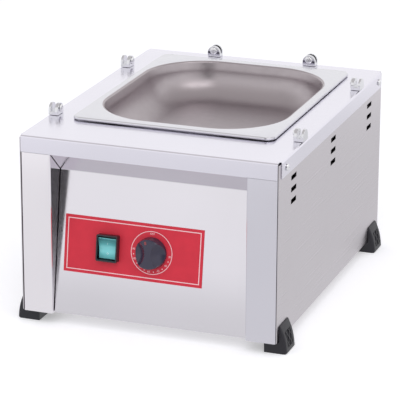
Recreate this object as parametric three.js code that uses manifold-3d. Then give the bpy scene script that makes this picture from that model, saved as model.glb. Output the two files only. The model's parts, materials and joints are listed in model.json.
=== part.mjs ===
// Counter-top bain marie: a folded sheet cabinet on four corner feet, with a water tank under
// its top, a lift-out food pan, a sloped control panel and six clips for a glass guard.
// Millimetres, +X right, +Y back, +Z up. The cabinet is laid out with its front face at y = 0,
// and the whole is moved at the end so that the origin is the middle of its footprint.
import * as THREE from 'three';
import { mergeVertices } from 'three/addons/utils/BufferGeometryUtils.js';
import Module from 'manifold-3d';

const wasm = await Module();
wasm.setup();

// Cabinet: the ledges are what the top leaves round the pan's flange
const SIDE_LEDGE = 35.5;
const FRONT_LEDGE = 80.5;
const REAR_LEDGE = 34.5;
const BODY_HEIGHT = 228;
const SHEET = 1;
const BEND = 2.2;
const GAP = 0.3;
const OVERRUN = 6;

// Folded top
const APRON = 21;
const APRON_RELIEF = 8;
const CORNER_JOINT = 0.6;
const MOUTH_RISE = 3.6;

// Front posts, beside the opening
const POST_FACE = 41.5;
const POST_RETURN = 37;
const POST_HEM = 16;

// Control panel, one sheet with the slanted soffit above it
const PANEL_JOINT = 0.9;
const PANEL_FOOT_SETBACK = 5;
const PANEL_TOP_SETBACK = 32;
const SOFFIT_DROP = 27;
const PANEL_LIP = 12;
const PANEL_FLANGE = 46;

// Side panels with their vents
const SIDE_SETBACK = 0.8;
const SIDE_FLANGE = 14;
const VENT_ROWS = 3;
const VENT_COLUMNS = 3;
const VENT_LENGTH = 20;
const VENT_HEIGHT = 6;
const VENT_PITCH = 15;
const VENT_DROP = 32;
const VENT_MARGIN = 58;

// Rear panel and bottom plate
const REAR_FLANGE = 14;
const BOTTOM_UPTURN = 12;
const AIR_SLOTS = 6;
const AIR_SLOT_LENGTH = 60;
const AIR_SLOT_WIDTH = 5;
const AIR_SLOT_PITCH = 30;

// Corner feet
const FOOT_HEIGHT = 15;
const FOOT_LENGTH = 34;
const FOOT_REACH = 10;
const FOOT_INSET = 19;
const FOOT_FRONT = 8;
const FOOT_REAR = 14;
const FOOT_ROUND = 1.5;
const EAR_RISE = 20.5;
const EAR_TIP = 1.2;
const EAR_BULGE_SHARES = [0.93, 0.57];
const POCKET_DEPTH = 1.4;
const POCKET_MARGIN = 7.5;
const POCKET_SPAN_SHARES = [0.14, 0.72];
const LATTICE_BAR = 1.8;
const LATTICE_STEP = 10;
const LATTICE_LEAN = THREE.MathUtils.degToRad(38);
const FOOT_SCREW_INSET = 10;
const COUNTERBORE = 10;
const COUNTERBORE_DEPTH = 8;

// Food pan
const PAN_LENGTH = 325;
const PAN_WIDTH = 265;
const PAN_DEPTH = 46;
const PAN_SHEET = 0.8;
const PAN_CORNER = 12;
const PAN_RIM = 3.5;
const PAN_RIM_BEND = 1.6;
const PAN_FLANGE_SIDE = 9.5;
const PAN_FLANGE_END = 13.5;
const PAN_LIP = 3;
const PAN_WALL_CORNER = 80;
const PAN_TAPER = 2.5;
const PAN_FLOOR_ROUND = 38;

// Water tank, a box under the top's mouth
const MOUTH_CLEARANCE = 3;
const TANK_LEDGE = 8;
const TANK_DEPTH = 160;
const TANK_CORNER = 8;
const TANK_FLANGE = 10;
const TANK_FLOOR_ROUND = 6;

// Heating element
const ELEMENT_TUBE = 8;
const ELEMENT_RISE = 22;
const ELEMENT_LEG = 28;
const ELEMENT_INSET = 32;
const ELEMENT_BEND = 20;
const ELEMENT_TAIL = 24;
const ELEMENT_COLLAR = 17;
const ELEMENT_COLLAR_THICKNESS = 3;
const NUT_FLATS = 17;
const NUT_THICKNESS = 6;
const SUPPORT_WIDTH = 12;
const SUPPORT_FOOT = 14;

// Label, rocker switch and thermostat, measured on the sloped panel from its foot
const FILM_GAP = 0.1;
const LABEL_THICKNESS = 0.4;
const LABEL_WIDTH = 182;
const LABEL_HEIGHT = 72;
const LABEL_LOW = 55;
const LABEL_INSET = 9.5;
const SWITCH_OFFSET = -32;
const COLLAR_WIDTH = 28;
const COLLAR_HEIGHT = 33.5;
const COLLAR_RISE = 9;
const COLLAR_WALL = 2;
const COLLAR_LAP = 1;
const COLLAR_CORNER = 2;
const SWITCH_DEPTH = 24;
const SWITCH_WELL = 4.5;
const BLADE_WIDTH = 6.3;
const BLADE_THICKNESS = 0.8;
const BLADE_LENGTH = 9;
const BLADE_PITCH = 9;
const ROCKER_PLAY = 0.4;
const ROCKER_END = 1.1;
const ROCKER_HEIGHT = 4.8;
const ROCKER_DISH = 1.2;
const ROCKER_BACK = 1.2;
const ROCKER_PIVOT = 1;
const ROCKER_ROUND = 0.8;
const ROCKER_TILT = THREE.MathUtils.degToRad(10);
const KNOB_OFFSET = 24;
const KNOB_LIFT = 0.7;
const KNOB_BASE = 40;
const KNOB_FACE = 37;
const KNOB_HEIGHT = 13.7;
const KNOB_EDGE = 1.4;
const SCOOP_DEPTH = 11.2;
const GRIP_END = 21;
const GRIP_WAIST = 7.6;
const SHAFT = 6;
const SHAFT_PLAY = 0.35;
const SHAFT_IN_KNOB = 9;
const SHAFT_IN_BODY = 8;
const THERMOSTAT_BODY = 34;
const THERMOSTAT_DEPTH = 24;
const YOKE_LENGTH = 46;
const YOKE_WIDTH = 18;
const YOKE_THICKNESS = 3;

// Capillary and bulb
const CAPILLARY = 2;
const CAPILLARY_BEND = 6;
const CAPILLARY_STANDOFF = 14;
const CAPILLARY_RISE = 36;
const BULB = 6;
const BULB_LENGTH = 70;
const BULB_INSET = 12;
const CAPILLARY_NUT = 12;
const CAPILLARY_PLUG = 7;
const CAPILLARY_NUT_THICKNESS = 7;

// Glass clips
const CLIP_WIDTH = 17.5;
const CLIP_HEIGHT = 14.5;
const CLIP_THICKNESS = 13;
const CLIP_OUTER_CHEEK = 3.2;
const CLIP_SLOT = 5.2;
const CLIP_FLOOR = 4;
const CLIP_INSET = 0.5;
const CLIP_STUD = 4;
const CLIP_STUD_LENGTH = 6;
const CLIP_FRONT = 100;
const CLIP_BACK = 98;
const CLIP_REAR_SIDE = 100;
const CLIP_SCREW_HEAD = 9.6;
const CLIP_SCREW_RISE = 8.2;
const CLIP_SCREW_CROWN = 2;

// Screws
const SCREW_HEAD = 8.6;
const SCREW_CROWN = 2.4;
const SCREW_SHANK = 4;
const SCREW_LENGTH = 8;
const FOOT_SCREW_LENGTH = 12;
const SIDE_SCREW_FRONT = 26;
const SIDE_SCREW_REAR = 19;
const SCREW_DROP = 11;
const REAR_SCREW_SIDE = 48;

// Electrical pieces
const GLAND_SIDE = 50;
const GLAND_RISE = 42;
const GLAND_BORE = 8;
const GLAND_THREAD = 15;
const GLAND_FLANGE = 22;
const GLAND_FLANGE_THICKNESS = 4;
const GLAND_REACH = 13;
const GLAND_TIP = 15;
const GLAND_INSIDE = 11;
const GLAND_NUT_FLATS = 19;
const GLAND_NUT_THICKNESS = 4;
const BLOCK_LENGTH = 42;
const BLOCK_WIDTH = 20;
const BLOCK_HEIGHT = 18;
const BLOCK_WAYS = 3;
const BLOCK_BORE = 5;
const BLOCK_SIDE = 58;
const BLOCK_REAR = 55;
const EARTH_THREAD = 5;
const EARTH_LENGTH = 14;
const EARTH_NUT = 9;
const EARTH_NUT_THICKNESS = 4;
const EARTH_STANDOFF = 50;

// Facets
const BEND_STEPS = 3;
const CORNER_STEPS = 7;
const SLOT_STEPS = 2;
const ROUND_STEPS = 5;
const ROUND_SIDES = 20;
const SCREW_SIDES = 10;
const KNOB_SIDES = 30;
const TUBE_SIDES = 8;
const TUBE_STEPS_PER_BEND = 1.2;
const CURVE_STEPS = 6;

// Sizes and places worked out from the sizes above
const BODY_WIDTH = PAN_WIDTH + 2 * SIDE_LEDGE;
const BODY_DEPTH = FRONT_LEDGE + PAN_LENGTH + REAR_LEDGE;
const OPENING_WIDTH = BODY_WIDTH - 2 * POST_FACE;
const BASE_Z = FOOT_HEIGHT;
const TOP_Z = BASE_Z + BODY_HEIGHT;
const APRON_Z = TOP_Z - APRON;
const SIDE_OUT = BODY_WIDTH / 2 - SHEET - GAP;
const SIDE_IN = SIDE_OUT - SHEET;
const SIDE_TOP = TOP_Z - BEND - GAP;
const FRONT_HALF = SIDE_IN - CORNER_JOINT;
const REAR_FACE = BODY_DEPTH - SHEET - GAP;
const SCREW_Z = TOP_Z - SCREW_DROP;
const PLATE_Z = BASE_Z + SHEET + GAP;
const PLATE_FRONT = POST_RETURN + GAP;
const PLATE_REAR = REAR_FACE - SHEET - GAP;
const PLATE_HALF = SIDE_IN - BEND - GAP;
const LOW_SCREW_Z = PLATE_Z + BOTTOM_UPTURN / 2;
const PANEL_RISE = APRON_Z - SOFFIT_DROP - BASE_Z;
const PANEL_LEAN = Math.atan2(PANEL_TOP_SETBACK - PANEL_FOOT_SETBACK, PANEL_RISE);
const PANEL_HALF = OPENING_WIDTH / 2 - PANEL_JOINT;
const LABEL_X = LABEL_INSET + LABEL_WIDTH / 2 - PANEL_HALF;
const CONTROL_LINE = LABEL_LOW + LABEL_HEIGHT / 2;
const LABEL_FACE = FILM_GAP + LABEL_THICKNESS;
const SWITCH_X = LABEL_X + SWITCH_OFFSET;
const KNOB_X = LABEL_X + KNOB_OFFSET;
const WELL_WIDTH = COLLAR_WIDTH - 2 * COLLAR_WALL;
const WELL_HEIGHT = COLLAR_HEIGHT - 2 * COLLAR_WALL;
const HOUSING_WIDTH = COLLAR_WIDTH - 2 * COLLAR_LAP;
const HOUSING_HEIGHT = COLLAR_HEIGHT - 2 * COLLAR_LAP;
const PAN_Y = FRONT_LEDGE + PAN_LENGTH / 2;
const PAN_TOP = TOP_Z + MOUTH_RISE + GAP + PAN_SHEET;
const PAN_MOUTH_WIDTH = PAN_WIDTH - 2 * (PAN_FLANGE_SIDE + PAN_LIP);
const PAN_MOUTH_LENGTH = PAN_LENGTH - 2 * (PAN_FLANGE_END + PAN_LIP);
const MOUTH_MARGIN = PAN_SHEET + MOUTH_CLEARANCE;
const MOUTH_WIDTH = PAN_MOUTH_WIDTH + 2 * MOUTH_MARGIN;
const MOUTH_LENGTH = PAN_MOUTH_LENGTH + 2 * MOUTH_MARGIN;
const MOUTH_CORNER = PAN_WALL_CORNER + MOUTH_MARGIN;
const TANK_WIDTH = MOUTH_WIDTH + 2 * TANK_LEDGE;
const TANK_LENGTH = MOUTH_LENGTH + 2 * TANK_LEDGE;
const TANK_FRONT = PAN_Y - TANK_LENGTH / 2;
const TANK_TOP = TOP_Z - SHEET - GAP;
const TANK_FLOOR = TOP_Z - SHEET - TANK_DEPTH;
const ELEMENT_Z = TANK_FLOOR + ELEMENT_RISE;
const CAPILLARY_Z = TANK_FLOOR + CAPILLARY_RISE;
const CLIP_INNER_CHEEK = CLIP_THICKNESS - CLIP_OUTER_CHEEK - CLIP_SLOT;
const CLIP_REAR_X = BODY_WIDTH / 2 - CLIP_REAR_SIDE;
const REAR_SCREW_X = BODY_WIDTH / 2 - REAR_SCREW_SIDE;
const GLAND_X = BODY_WIDTH / 2 - GLAND_SIDE;
const BLOCK_X = BODY_WIDTH / 2 - BLOCK_SIDE;
const BLOCK_Y = BODY_DEPTH - BLOCK_REAR;
const EARTH_X = BLOCK_X - EARTH_STANDOFF;

// Each mesh gets a material of its own from these finishes.
const FINISHES = {
  polished: { color: 0xe2e2ea, roughness: 0.16, metalness: 1 },
  brushed: { color: 0xc6c4ca, roughness: 0.34, metalness: 1 },
  satin: { color: 0xb4b0b2, roughness: 0.42, metalness: 1 },
  chrome: { color: 0xf0f0f4, roughness: 0.05, metalness: 1 },
  brass: { color: 0xc9a659, roughness: 0.35, metalness: 1 },
  copper: { color: 0xb8724a, roughness: 0.35, metalness: 1 },
  black: { color: 0x2a2a30, roughness: 0.5, metalness: 0 },
  knob: { color: 0x3a3844, roughness: 0.38, metalness: 0 },
  red: { color: 0xd44150, roughness: 0.35, metalness: 0 },
  teal: { color: 0x68b4b6, roughness: 0.2, metalness: 0 },
  pale: { color: 0xe4e0d4, roughness: 0.6, metalness: 0 },
};

const cabinet = new THREE.Group();

// Solids: closed geometries become manifolds for joining and cutting.

function solid(shape) {
  if (shape instanceof wasm.Manifold) return shape;
  const bare = shape.clone();
  bare.deleteAttribute('normal');
  bare.deleteAttribute('uv');
  const merged = mergeVertices(bare);
  const corners = merged.index.array;
  const kept = [];
  for (let i = 0; i < corners.length; i += 3) {
    const [a, b, c] = [corners[i], corners[i + 1], corners[i + 2]];
    if (a !== b && b !== c && c !== a) kept.push(a, b, c);
  }
  return new wasm.Manifold(new wasm.Mesh({
    numProp: 3,
    vertProperties: new Float32Array(merged.attributes.position.array),
    triVerts: new Uint32Array(kept),
  }));
}

const cut = (body, ...tools) => tools.reduce((rest, tool) => rest.subtract(solid(tool)), solid(body));
const join = (body, ...others) => others.reduce((sum, other) => sum.add(solid(other)), solid(body));

function geometryOf(shape) {
  const mesh = solid(shape).getMesh();
  const geometry = new THREE.BufferGeometry();
  const places = new Float32Array(mesh.vertProperties);
  geometry.setAttribute('position', new THREE.BufferAttribute(places, 3));
  geometry.setIndex(new THREE.BufferAttribute(new Uint32Array(mesh.triVerts), 1));
  geometry.computeVertexNormals();
  return geometry;
}

function piece(name, finish, shape, parent = cabinet) {
  const mesh = new THREE.Mesh(geometryOf(shape), new THREE.MeshStandardMaterial(FINISHES[finish]));
  mesh.name = name;
  parent.add(mesh);
  return mesh;
}

// The mirror image across x = 0, with its faces turned out again.
function mirrored(shape) {
  const geometry = geometryOf(shape);
  geometry.scale(-1, 1, 1);
  const corners = geometry.index.array;
  for (let i = 0; i < corners.length; i += 3) {
    [corners[i + 1], corners[i + 2]] = [corners[i + 2], corners[i + 1]];
  }
  return geometry;
}

// Outlines

// Points of a closed outline whose corners, each [x, y, radius], are rounded in equal steps.
function rounded(corners, steps = BEND_STEPS) {
  return corners.flatMap(([x, y, radius = 0], i) => {
    const corner = new THREE.Vector2(x, y);
    if (radius <= 0) return [corner];
    const before = corners[(i + corners.length - 1) % corners.length];
    const after = corners[(i + 1) % corners.length];
    const back = new THREE.Vector2(before[0] - x, before[1] - y).normalize();
    const on = new THREE.Vector2(after[0] - x, after[1] - y).normalize();
    const half = Math.acos(THREE.MathUtils.clamp(back.dot(on), -1, 1)) / 2;
    const inward = back.clone().add(on).normalize();
    const centre = corner.clone().addScaledVector(inward, radius / Math.sin(half));
    const from = corner.clone().addScaledVector(back, radius / Math.tan(half)).sub(centre);
    const turn = Math.sign(back.cross(on)) * (2 * half - Math.PI);
    return Array.from({ length: steps + 1 }, (_, k) => (
      from.clone().rotateAround(new THREE.Vector2(), turn * k / steps).add(centre)));
  });
}

// A folded sheet seen end on. The path of [a, b] points is its outer face, with the metal on
// the left of it, and each fold is rounded outside and inside.
function foldedSheet(path, thickness = SHEET, bend = BEND) {
  const points = path.map(([a, b]) => new THREE.Vector2(a, b));
  const ways = points.slice(1).map((point, i) => point.clone().sub(points[i]).normalize());
  const left = (way) => new THREE.Vector2(-way.y, way.x);
  const near = [];
  const far = [];
  points.forEach((point, i) => {
    const first = left(ways[Math.max(i - 1, 0)]);
    const second = left(ways[Math.min(i, ways.length - 1)]);
    const offset = first.clone().add(second).multiplyScalar(thickness / (1 + first.dot(second)));
    const fold = i > 0 && i < ways.length ? Math.sign(first.cross(second)) : 0;
    const outer = fold === 0 ? 0 : bend;
    const inner = Math.max(outer - thickness, 0);
    near.push([point.x, point.y, fold > 0 ? outer : fold < 0 ? inner : 0]);
    far.push([point.x + offset.x, point.y + offset.y, fold > 0 ? inner : fold < 0 ? outer : 0]);
  });
  return rounded([...near, ...far.reverse()]);
}

const rectangle = (width, height, radius, x = 0, y = 0, steps = BEND_STEPS) => rounded([
  [x - width / 2, y - height / 2, radius],
  [x + width / 2, y - height / 2, radius],
  [x + width / 2, y + height / 2, radius],
  [x - width / 2, y + height / 2, radius],
], steps);

const polygon = (sides, radius, turn = 0) => Array.from({ length: sides }, (_, k) => (
  new THREE.Vector2(radius, 0).rotateAround(new THREE.Vector2(), turn + 2 * Math.PI * k / sides)));

const hexagon = (flats) => polygon(6, flats / Math.sqrt(3));

// Extrusions of an outline, with any holes, between two planes. Outline points are (x, y) along
// Z, (y, z) along X and (x, z) along Y.

function alongZ(points, from, to, holes = []) {
  const shape = new THREE.Shape(points);
  shape.holes = holes.map((hole) => new THREE.Path(hole));
  const geometry = new THREE.ExtrudeGeometry(shape, { depth: to - from, bevelEnabled: false });
  return geometry.translate(0, 0, from);
}

const alongX = (points, from, to, holes) => alongZ(points, from, to, holes)
  .applyMatrix4(new THREE.Matrix4().set(0, 0, 1, 0, 1, 0, 0, 0, 0, 1, 0, 0, 0, 0, 0, 1));

const alongY = (points, from, to, holes) => alongZ(points, -to, -from, holes)
  .rotateX(Math.PI / 2);

const rod = (radius, from, to, sides = ROUND_SIDES) => alongZ(polygon(sides, radius), from, to);

const block = (low, high) => new THREE.BoxGeometry(high[0] - low[0], high[1] - low[1], high[2] - low[2])
  .translate((low[0] + high[0]) / 2, (low[1] + high[1]) / 2, (low[2] + high[2]) / 2);

// A turned piece about +Z from [radius, z] points that run upward along its outside.
const turned = (profile, sides = ROUND_SIDES) => (
  new THREE.LatheGeometry(profile.map(([r, z]) => new THREE.Vector2(r, z)), sides).rotateX(Math.PI / 2));

// A tube along a path whose corners are rounded by one bend, or as far as their legs reach.
function pipe(points, bend, radius, sides = TUBE_SIDES) {
  const corners = points.map((point) => new THREE.Vector3(...point));
  const path = new THREE.CurvePath();
  let start = corners[0];
  for (let i = 1; i < corners.length - 1; i += 1) {
    const before = corners[i - 1].clone().sub(corners[i]);
    const after = corners[i + 1].clone().sub(corners[i]);
    const reach = Math.min(bend, before.length() / 2, after.length() / 2);
    const back = before.setLength(reach).add(corners[i]);
    const on = after.setLength(reach).add(corners[i]);
    path.add(new THREE.LineCurve3(start, back));
    path.add(new THREE.QuadraticBezierCurve3(back, corners[i], on));
    start = on;
  }
  path.add(new THREE.LineCurve3(start, corners[corners.length - 1]));
  const steps = Math.ceil(path.getLength() / bend * TUBE_STEPS_PER_BEND);
  const section = new THREE.Shape(polygon(sides, radius));
  return new THREE.ExtrudeGeometry(section, { steps, extrudePath: path, bevelEnabled: false });
}

// A closed skin over a row of equal loops of points, capped flat at both ends.
function loft(loops) {
  const sides = loops[0].length;
  const places = loops.flat();
  const index = [];
  for (let row = 0; row < loops.length - 1; row += 1) {
    for (let k = 0; k < sides; k += 1) {
      const a = row * sides + k;
      const b = row * sides + (k + 1) % sides;
      index.push(a, b, b + sides, a, b + sides, a + sides);
    }
  }
  [loops[0], loops[loops.length - 1]].forEach((loop, last) => {
    const middle = loop.reduce((sum, point) => sum.add(point), new THREE.Vector3()).divideScalar(sides);
    const hub = places.push(middle) - 1;
    const first = last * (loops.length - 1) * sides;
    for (let k = 0; k < sides; k += 1) {
      const pair = [first + k, first + (k + 1) % sides];
      if (last === 0) pair.reverse();
      index.push(hub, ...pair);
    }
  });
  return new THREE.BufferGeometry().setFromPoints(places).setIndex(index);
}

// Sheet vessels: the pan and the tank are lofted from loops that differ in inset and drop.

const loopAt = (width, length, corner, z, steps = CORNER_STEPS) => (
  rectangle(width, length, corner, 0, PAN_Y, steps).map((point) => new THREE.Vector3(point.x, point.y, z)));

// Steps round a quarter circle, as [across, along] shares of its radius.
const quarterShares = (steps) => Array.from({ length: steps + 1 }, (_, k) => {
  const angle = k / steps * Math.PI / 2;
  return [1 - Math.cos(angle), Math.sin(angle)];
});

function panLoops() {
  const wall = (inset, drop) => loopAt(
    PAN_MOUTH_WIDTH - 2 * inset, PAN_MOUTH_LENGTH - 2 * inset, PAN_WALL_CORNER - inset, PAN_TOP - drop);
  const flange = (inset, drop) => loopAt(
    PAN_WIDTH - 2 * inset, PAN_LENGTH - 2 * inset, PAN_CORNER - inset, PAN_TOP - drop);
  // One skin of the pan from its mouth to its floor, the given distance behind the inner one.
  const skin = (behind) => {
    const lip = PAN_LIP - behind;
    const round = PAN_FLOOR_ROUND + behind;
    const floorDrop = PAN_DEPTH - PAN_FLOOR_ROUND;
    return [
      ...quarterShares(ROUND_STEPS - 1).map(([across, along]) => (
        wall(lip * along - PAN_LIP, lip * across + behind))),
      ...quarterShares(ROUND_STEPS + 1).map(([across, along]) => (
        wall(PAN_TAPER + round * across - behind, floorDrop + round * along))),
    ];
  };
  const under = PAN_RIM_BEND - PAN_SHEET;
  return [
    ...skin(PAN_SHEET).reverse(),
    ...quarterShares(BEND_STEPS).map(([across, along]) => (
      flange(PAN_RIM_BEND - under * along, PAN_SHEET + under * across))),
    flange(PAN_SHEET, PAN_RIM),
    flange(0, PAN_RIM),
    ...quarterShares(BEND_STEPS).reverse().map(([across, along]) => (
      flange(PAN_RIM_BEND - PAN_RIM_BEND * along, PAN_RIM_BEND * across))),
    ...skin(0),
  ];
}

function tankLoops() {
  const ring = (inset, z) => loopAt(
    TANK_WIDTH - 2 * inset, TANK_LENGTH - 2 * inset, TANK_CORNER - inset, z, BEND_STEPS);
  const skin = (behind) => quarterShares(ROUND_STEPS - 1).map(([across, along]) => ring(
    (TANK_FLOOR_ROUND + behind) * across - behind,
    TANK_FLOOR + TANK_FLOOR_ROUND - (TANK_FLOOR_ROUND + behind) * along));
  return [
    ...skin(SHEET).reverse(),
    ring(-SHEET, TANK_TOP - SHEET),
    ring(-TANK_FLANGE, TANK_TOP - SHEET),
    ring(-TANK_FLANGE, TANK_TOP),
    ring(0, TANK_TOP),
    ...skin(0),
  ];
}

// Screws and nuts, along +Z with the underside of the head at z = 0

function screw(length, head = SCREW_HEAD, crown = SCREW_CROWN) {
  return turned([
    [0, -length],
    [SCREW_SHANK / 2, -length],
    [SCREW_SHANK / 2, 0],
    [head / 2, 0],
    [head / 2, crown / 3],
    [head / 3, crown * 5 / 6],
    [0, crown],
  ], SCREW_SIDES);
}

const SCREW_HOLE = SCREW_SHANK / 2 + GAP;
const screwBore = (from, to) => rod(SCREW_HOLE, from, to, SCREW_SIDES);

const nut = (flats, bore, thickness) => alongZ(
  hexagon(flats), 0, thickness, [polygon(ROUND_SIDES, bore / 2 + GAP)]);

// Cabinet sheet metal

const sidePlaces = [SIDE_SCREW_FRONT, BODY_DEPTH - SIDE_SCREW_REAR];
const clipPlaces = [
  ['left_front', -BODY_WIDTH / 2 + CLIP_INSET, CLIP_FRONT, 0],
  ['left_rear', -BODY_WIDTH / 2 + CLIP_INSET, BODY_DEPTH - CLIP_BACK, 0],
  ['right_front', BODY_WIDTH / 2 - CLIP_INSET, CLIP_FRONT, Math.PI],
  ['right_rear', BODY_WIDTH / 2 - CLIP_INSET, BODY_DEPTH - CLIP_BACK, Math.PI],
  ['rear_left', -CLIP_REAR_X, BODY_DEPTH - CLIP_INSET, -Math.PI / 2],
  ['rear_right', CLIP_REAR_X, BODY_DEPTH - CLIP_INSET, -Math.PI / 2],
];

function topPanel() {
  const lengthwise = foldedSheet([
    [BODY_DEPTH, APRON_Z], [BODY_DEPTH, TOP_Z], [0, TOP_Z], [0, APRON_Z]]);
  const crosswise = foldedSheet([
    [BODY_WIDTH / 2, APRON_Z], [BODY_WIDTH / 2, TOP_Z],
    [-BODY_WIDTH / 2, TOP_Z], [-BODY_WIDTH / 2, APRON_Z]]);
  const mouth = (margin) => rectangle(MOUTH_WIDTH + 2 * margin, MOUTH_LENGTH + 2 * margin,
    MOUTH_CORNER + margin, 0, PAN_Y, CORNER_STEPS);
  const studs = clipPlaces.map(([, x, y, turn]) => (
    rod(CLIP_STUD / 2 + GAP, TOP_Z - OVERRUN, TOP_Z + OVERRUN, SCREW_SIDES)
      .translate(x + CLIP_THICKNESS / 2 * Math.cos(turn), y + CLIP_THICKNESS / 2 * Math.sin(turn), 0)));
  const sideHoles = sidePlaces.map((y) => screwBore(-BODY_WIDTH, BODY_WIDTH)
    .rotateY(Math.PI / 2).translate(0, y, SCREW_Z));
  const rearHoles = [-1, 1].map((side) => screwBore(-OVERRUN, OVERRUN)
    .rotateX(Math.PI / 2).translate(side * REAR_SCREW_X, BODY_DEPTH, SCREW_Z));
  return cut(
    join(
      alongX(lengthwise, -FRONT_HALF, FRONT_HALF),
      alongY(crosswise, APRON_RELIEF, BODY_DEPTH - APRON_RELIEF),
      alongZ(mouth(SHEET), TOP_Z - SHEET / 2, TOP_Z + MOUTH_RISE)),
    alongZ(mouth(0), TOP_Z - OVERRUN, TOP_Z + OVERRUN), ...studs, ...sideHoles, ...rearHoles);
}

function sidePanel() {
  const fold = foldedSheet([[SIDE_OUT - SIDE_FLANGE, BASE_Z], [SIDE_OUT, BASE_Z], [SIDE_OUT, SIDE_TOP]]);
  const flangeEnds = [[-OVERRUN, POST_HEM + GAP], [REAR_FACE - REAR_FLANGE - GAP, BODY_DEPTH]];
  const relief = flangeEnds.map(([from, to]) => block(
    [SIDE_OUT - SIDE_FLANGE - OVERRUN, from, BASE_Z - OVERRUN], [SIDE_IN, to, BASE_Z + BEND + GAP]));
  const columnPitch = (BODY_DEPTH - 2 * VENT_MARGIN) / (VENT_COLUMNS - 1);
  const vents = Array.from({ length: VENT_COLUMNS * VENT_ROWS }, (_, k) => {
    const y = VENT_MARGIN + columnPitch * Math.floor(k / VENT_ROWS);
    const z = TOP_Z - VENT_DROP - VENT_PITCH * (k % VENT_ROWS);
    return new THREE.BoxGeometry(2 * OVERRUN, VENT_LENGTH, VENT_HEIGHT).translate(SIDE_OUT, y, z);
  });
  const screwHoles = sidePlaces.map((y) => screwBore(-OVERRUN, OVERRUN)
    .rotateY(Math.PI / 2).translate(SIDE_OUT, y, SCREW_Z));
  const footHoles = footPlaces.map(([, , y]) => screwBore(BASE_Z - OVERRUN, BASE_Z + OVERRUN)
    .translate(SIDE_OUT - FOOT_SCREW_INSET, y, 0));
  return cut(alongY(fold, SIDE_SETBACK, REAR_FACE), ...relief, ...vents, ...screwHoles, ...footHoles);
}

function post() {
  const fold = foldedSheet([
    [OPENING_WIDTH / 2, POST_RETURN], [OPENING_WIDTH / 2, 0], [FRONT_HALF, 0], [FRONT_HALF, POST_HEM]]);
  return alongZ(fold, BASE_Z, APRON_Z - GAP);
}

// Puts what is drawn flat on the control panel, outward along -Y, in its sloped place.
const onPanel = new THREE.Matrix4().makeRotationX(-PANEL_LEAN).setPosition(0, PANEL_FOOT_SETBACK, BASE_Z);

function controlPanel() {
  const behindApron = SHEET + GAP;
  const panelTop = APRON_Z - SOFFIT_DROP;
  const fold = foldedSheet([
    [behindApron, APRON_Z + PANEL_LIP],
    [behindApron, APRON_Z],
    [PANEL_TOP_SETBACK, panelTop],
    [PANEL_FOOT_SETBACK, BASE_Z],
    [PANEL_FOOT_SETBACK + PANEL_FLANGE, BASE_Z],
  ]);
  const [switchHole, shaftHole] = controlHoles();
  return cut(
    alongX(fold, -PANEL_HALF, PANEL_HALF),
    alongY(switchHole, -OVERRUN, OVERRUN).applyMatrix4(onPanel),
    alongY(shaftHole, -OVERRUN, OVERRUN).applyMatrix4(onPanel));
}

// Outlines of the two holes that the panel and its label share.
function controlHoles() {
  const shaft = polygon(ROUND_SIDES, SHAFT / 2 + SHEET);
  return [
    rectangle(HOUSING_WIDTH + 2 * GAP, HOUSING_HEIGHT + 2 * GAP, 0, SWITCH_X, CONTROL_LINE),
    shaft.map((point) => point.add(new THREE.Vector2(KNOB_X, CONTROL_LINE))),
  ];
}

function rearPanel() {
  const half = SIDE_IN - GAP;
  const fold = foldedSheet([
    [half, REAR_FACE - REAR_FLANGE], [half, REAR_FACE],
    [-half, REAR_FACE], [-half, REAR_FACE - REAR_FLANGE]]);
  const placed = (hole, x, z) => hole.rotateX(Math.PI / 2).translate(x, REAR_FACE, z);
  return cut(
    alongZ(fold, BASE_Z, SIDE_TOP),
    placed(rod(GLAND_THREAD / 2 + GAP, -OVERRUN, OVERRUN), GLAND_X, BASE_Z + GLAND_RISE),
    ...rearPlaces.map(([, x, , z]) => placed(screwBore(-OVERRUN, OVERRUN), x, z)));
}

function bottomPlate() {
  const fold = foldedSheet([
    [PLATE_FRONT, PLATE_Z + BOTTOM_UPTURN], [PLATE_FRONT, PLATE_Z],
    [PLATE_REAR, PLATE_Z], [PLATE_REAR, PLATE_Z + BOTTOM_UPTURN]]);
  const slots = Array.from({ length: AIR_SLOTS }, (_, k) => alongZ(
    rectangle(AIR_SLOT_LENGTH, AIR_SLOT_WIDTH, AIR_SLOT_WIDTH / 2 - GAP, 0,
      BODY_DEPTH / 2 + AIR_SLOT_PITCH * (k - (AIR_SLOTS - 1) / 2), SLOT_STEPS),
    PLATE_Z - OVERRUN, PLATE_Z + OVERRUN));
  const footHoles = footPlaces.map(([, side, y]) => screwBore(PLATE_Z - OVERRUN, PLATE_Z + OVERRUN)
    .translate(side * (SIDE_OUT - FOOT_SCREW_INSET), y, 0));
  const rearHoles = [-1, 1].map((side) => screwBore(-OVERRUN, OVERRUN)
    .rotateX(Math.PI / 2).translate(side * REAR_SCREW_X, PLATE_REAR, LOW_SCREW_Z));
  const earthHole = rod(EARTH_THREAD / 2 + GAP, PLATE_Z - OVERRUN, PLATE_Z + OVERRUN)
    .translate(EARTH_X, BLOCK_Y, 0);
  return cut(alongX(fold, -PLATE_HALF, PLATE_HALF), ...slots, ...footHoles, ...rearHoles, earthHole);
}

// Corner feet: a pad under the cabinet and an ear up its side, with a lattice in a pocket

const footPlaces = [
  ['front_left', -1, FOOT_FRONT + FOOT_LENGTH / 2],
  ['front_right', 1, FOOT_FRONT + FOOT_LENGTH / 2],
  ['rear_left', -1, BODY_DEPTH - FOOT_REAR - FOOT_LENGTH / 2],
  ['rear_right', 1, BODY_DEPTH - FOOT_REAR - FOOT_LENGTH / 2],
];

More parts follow.
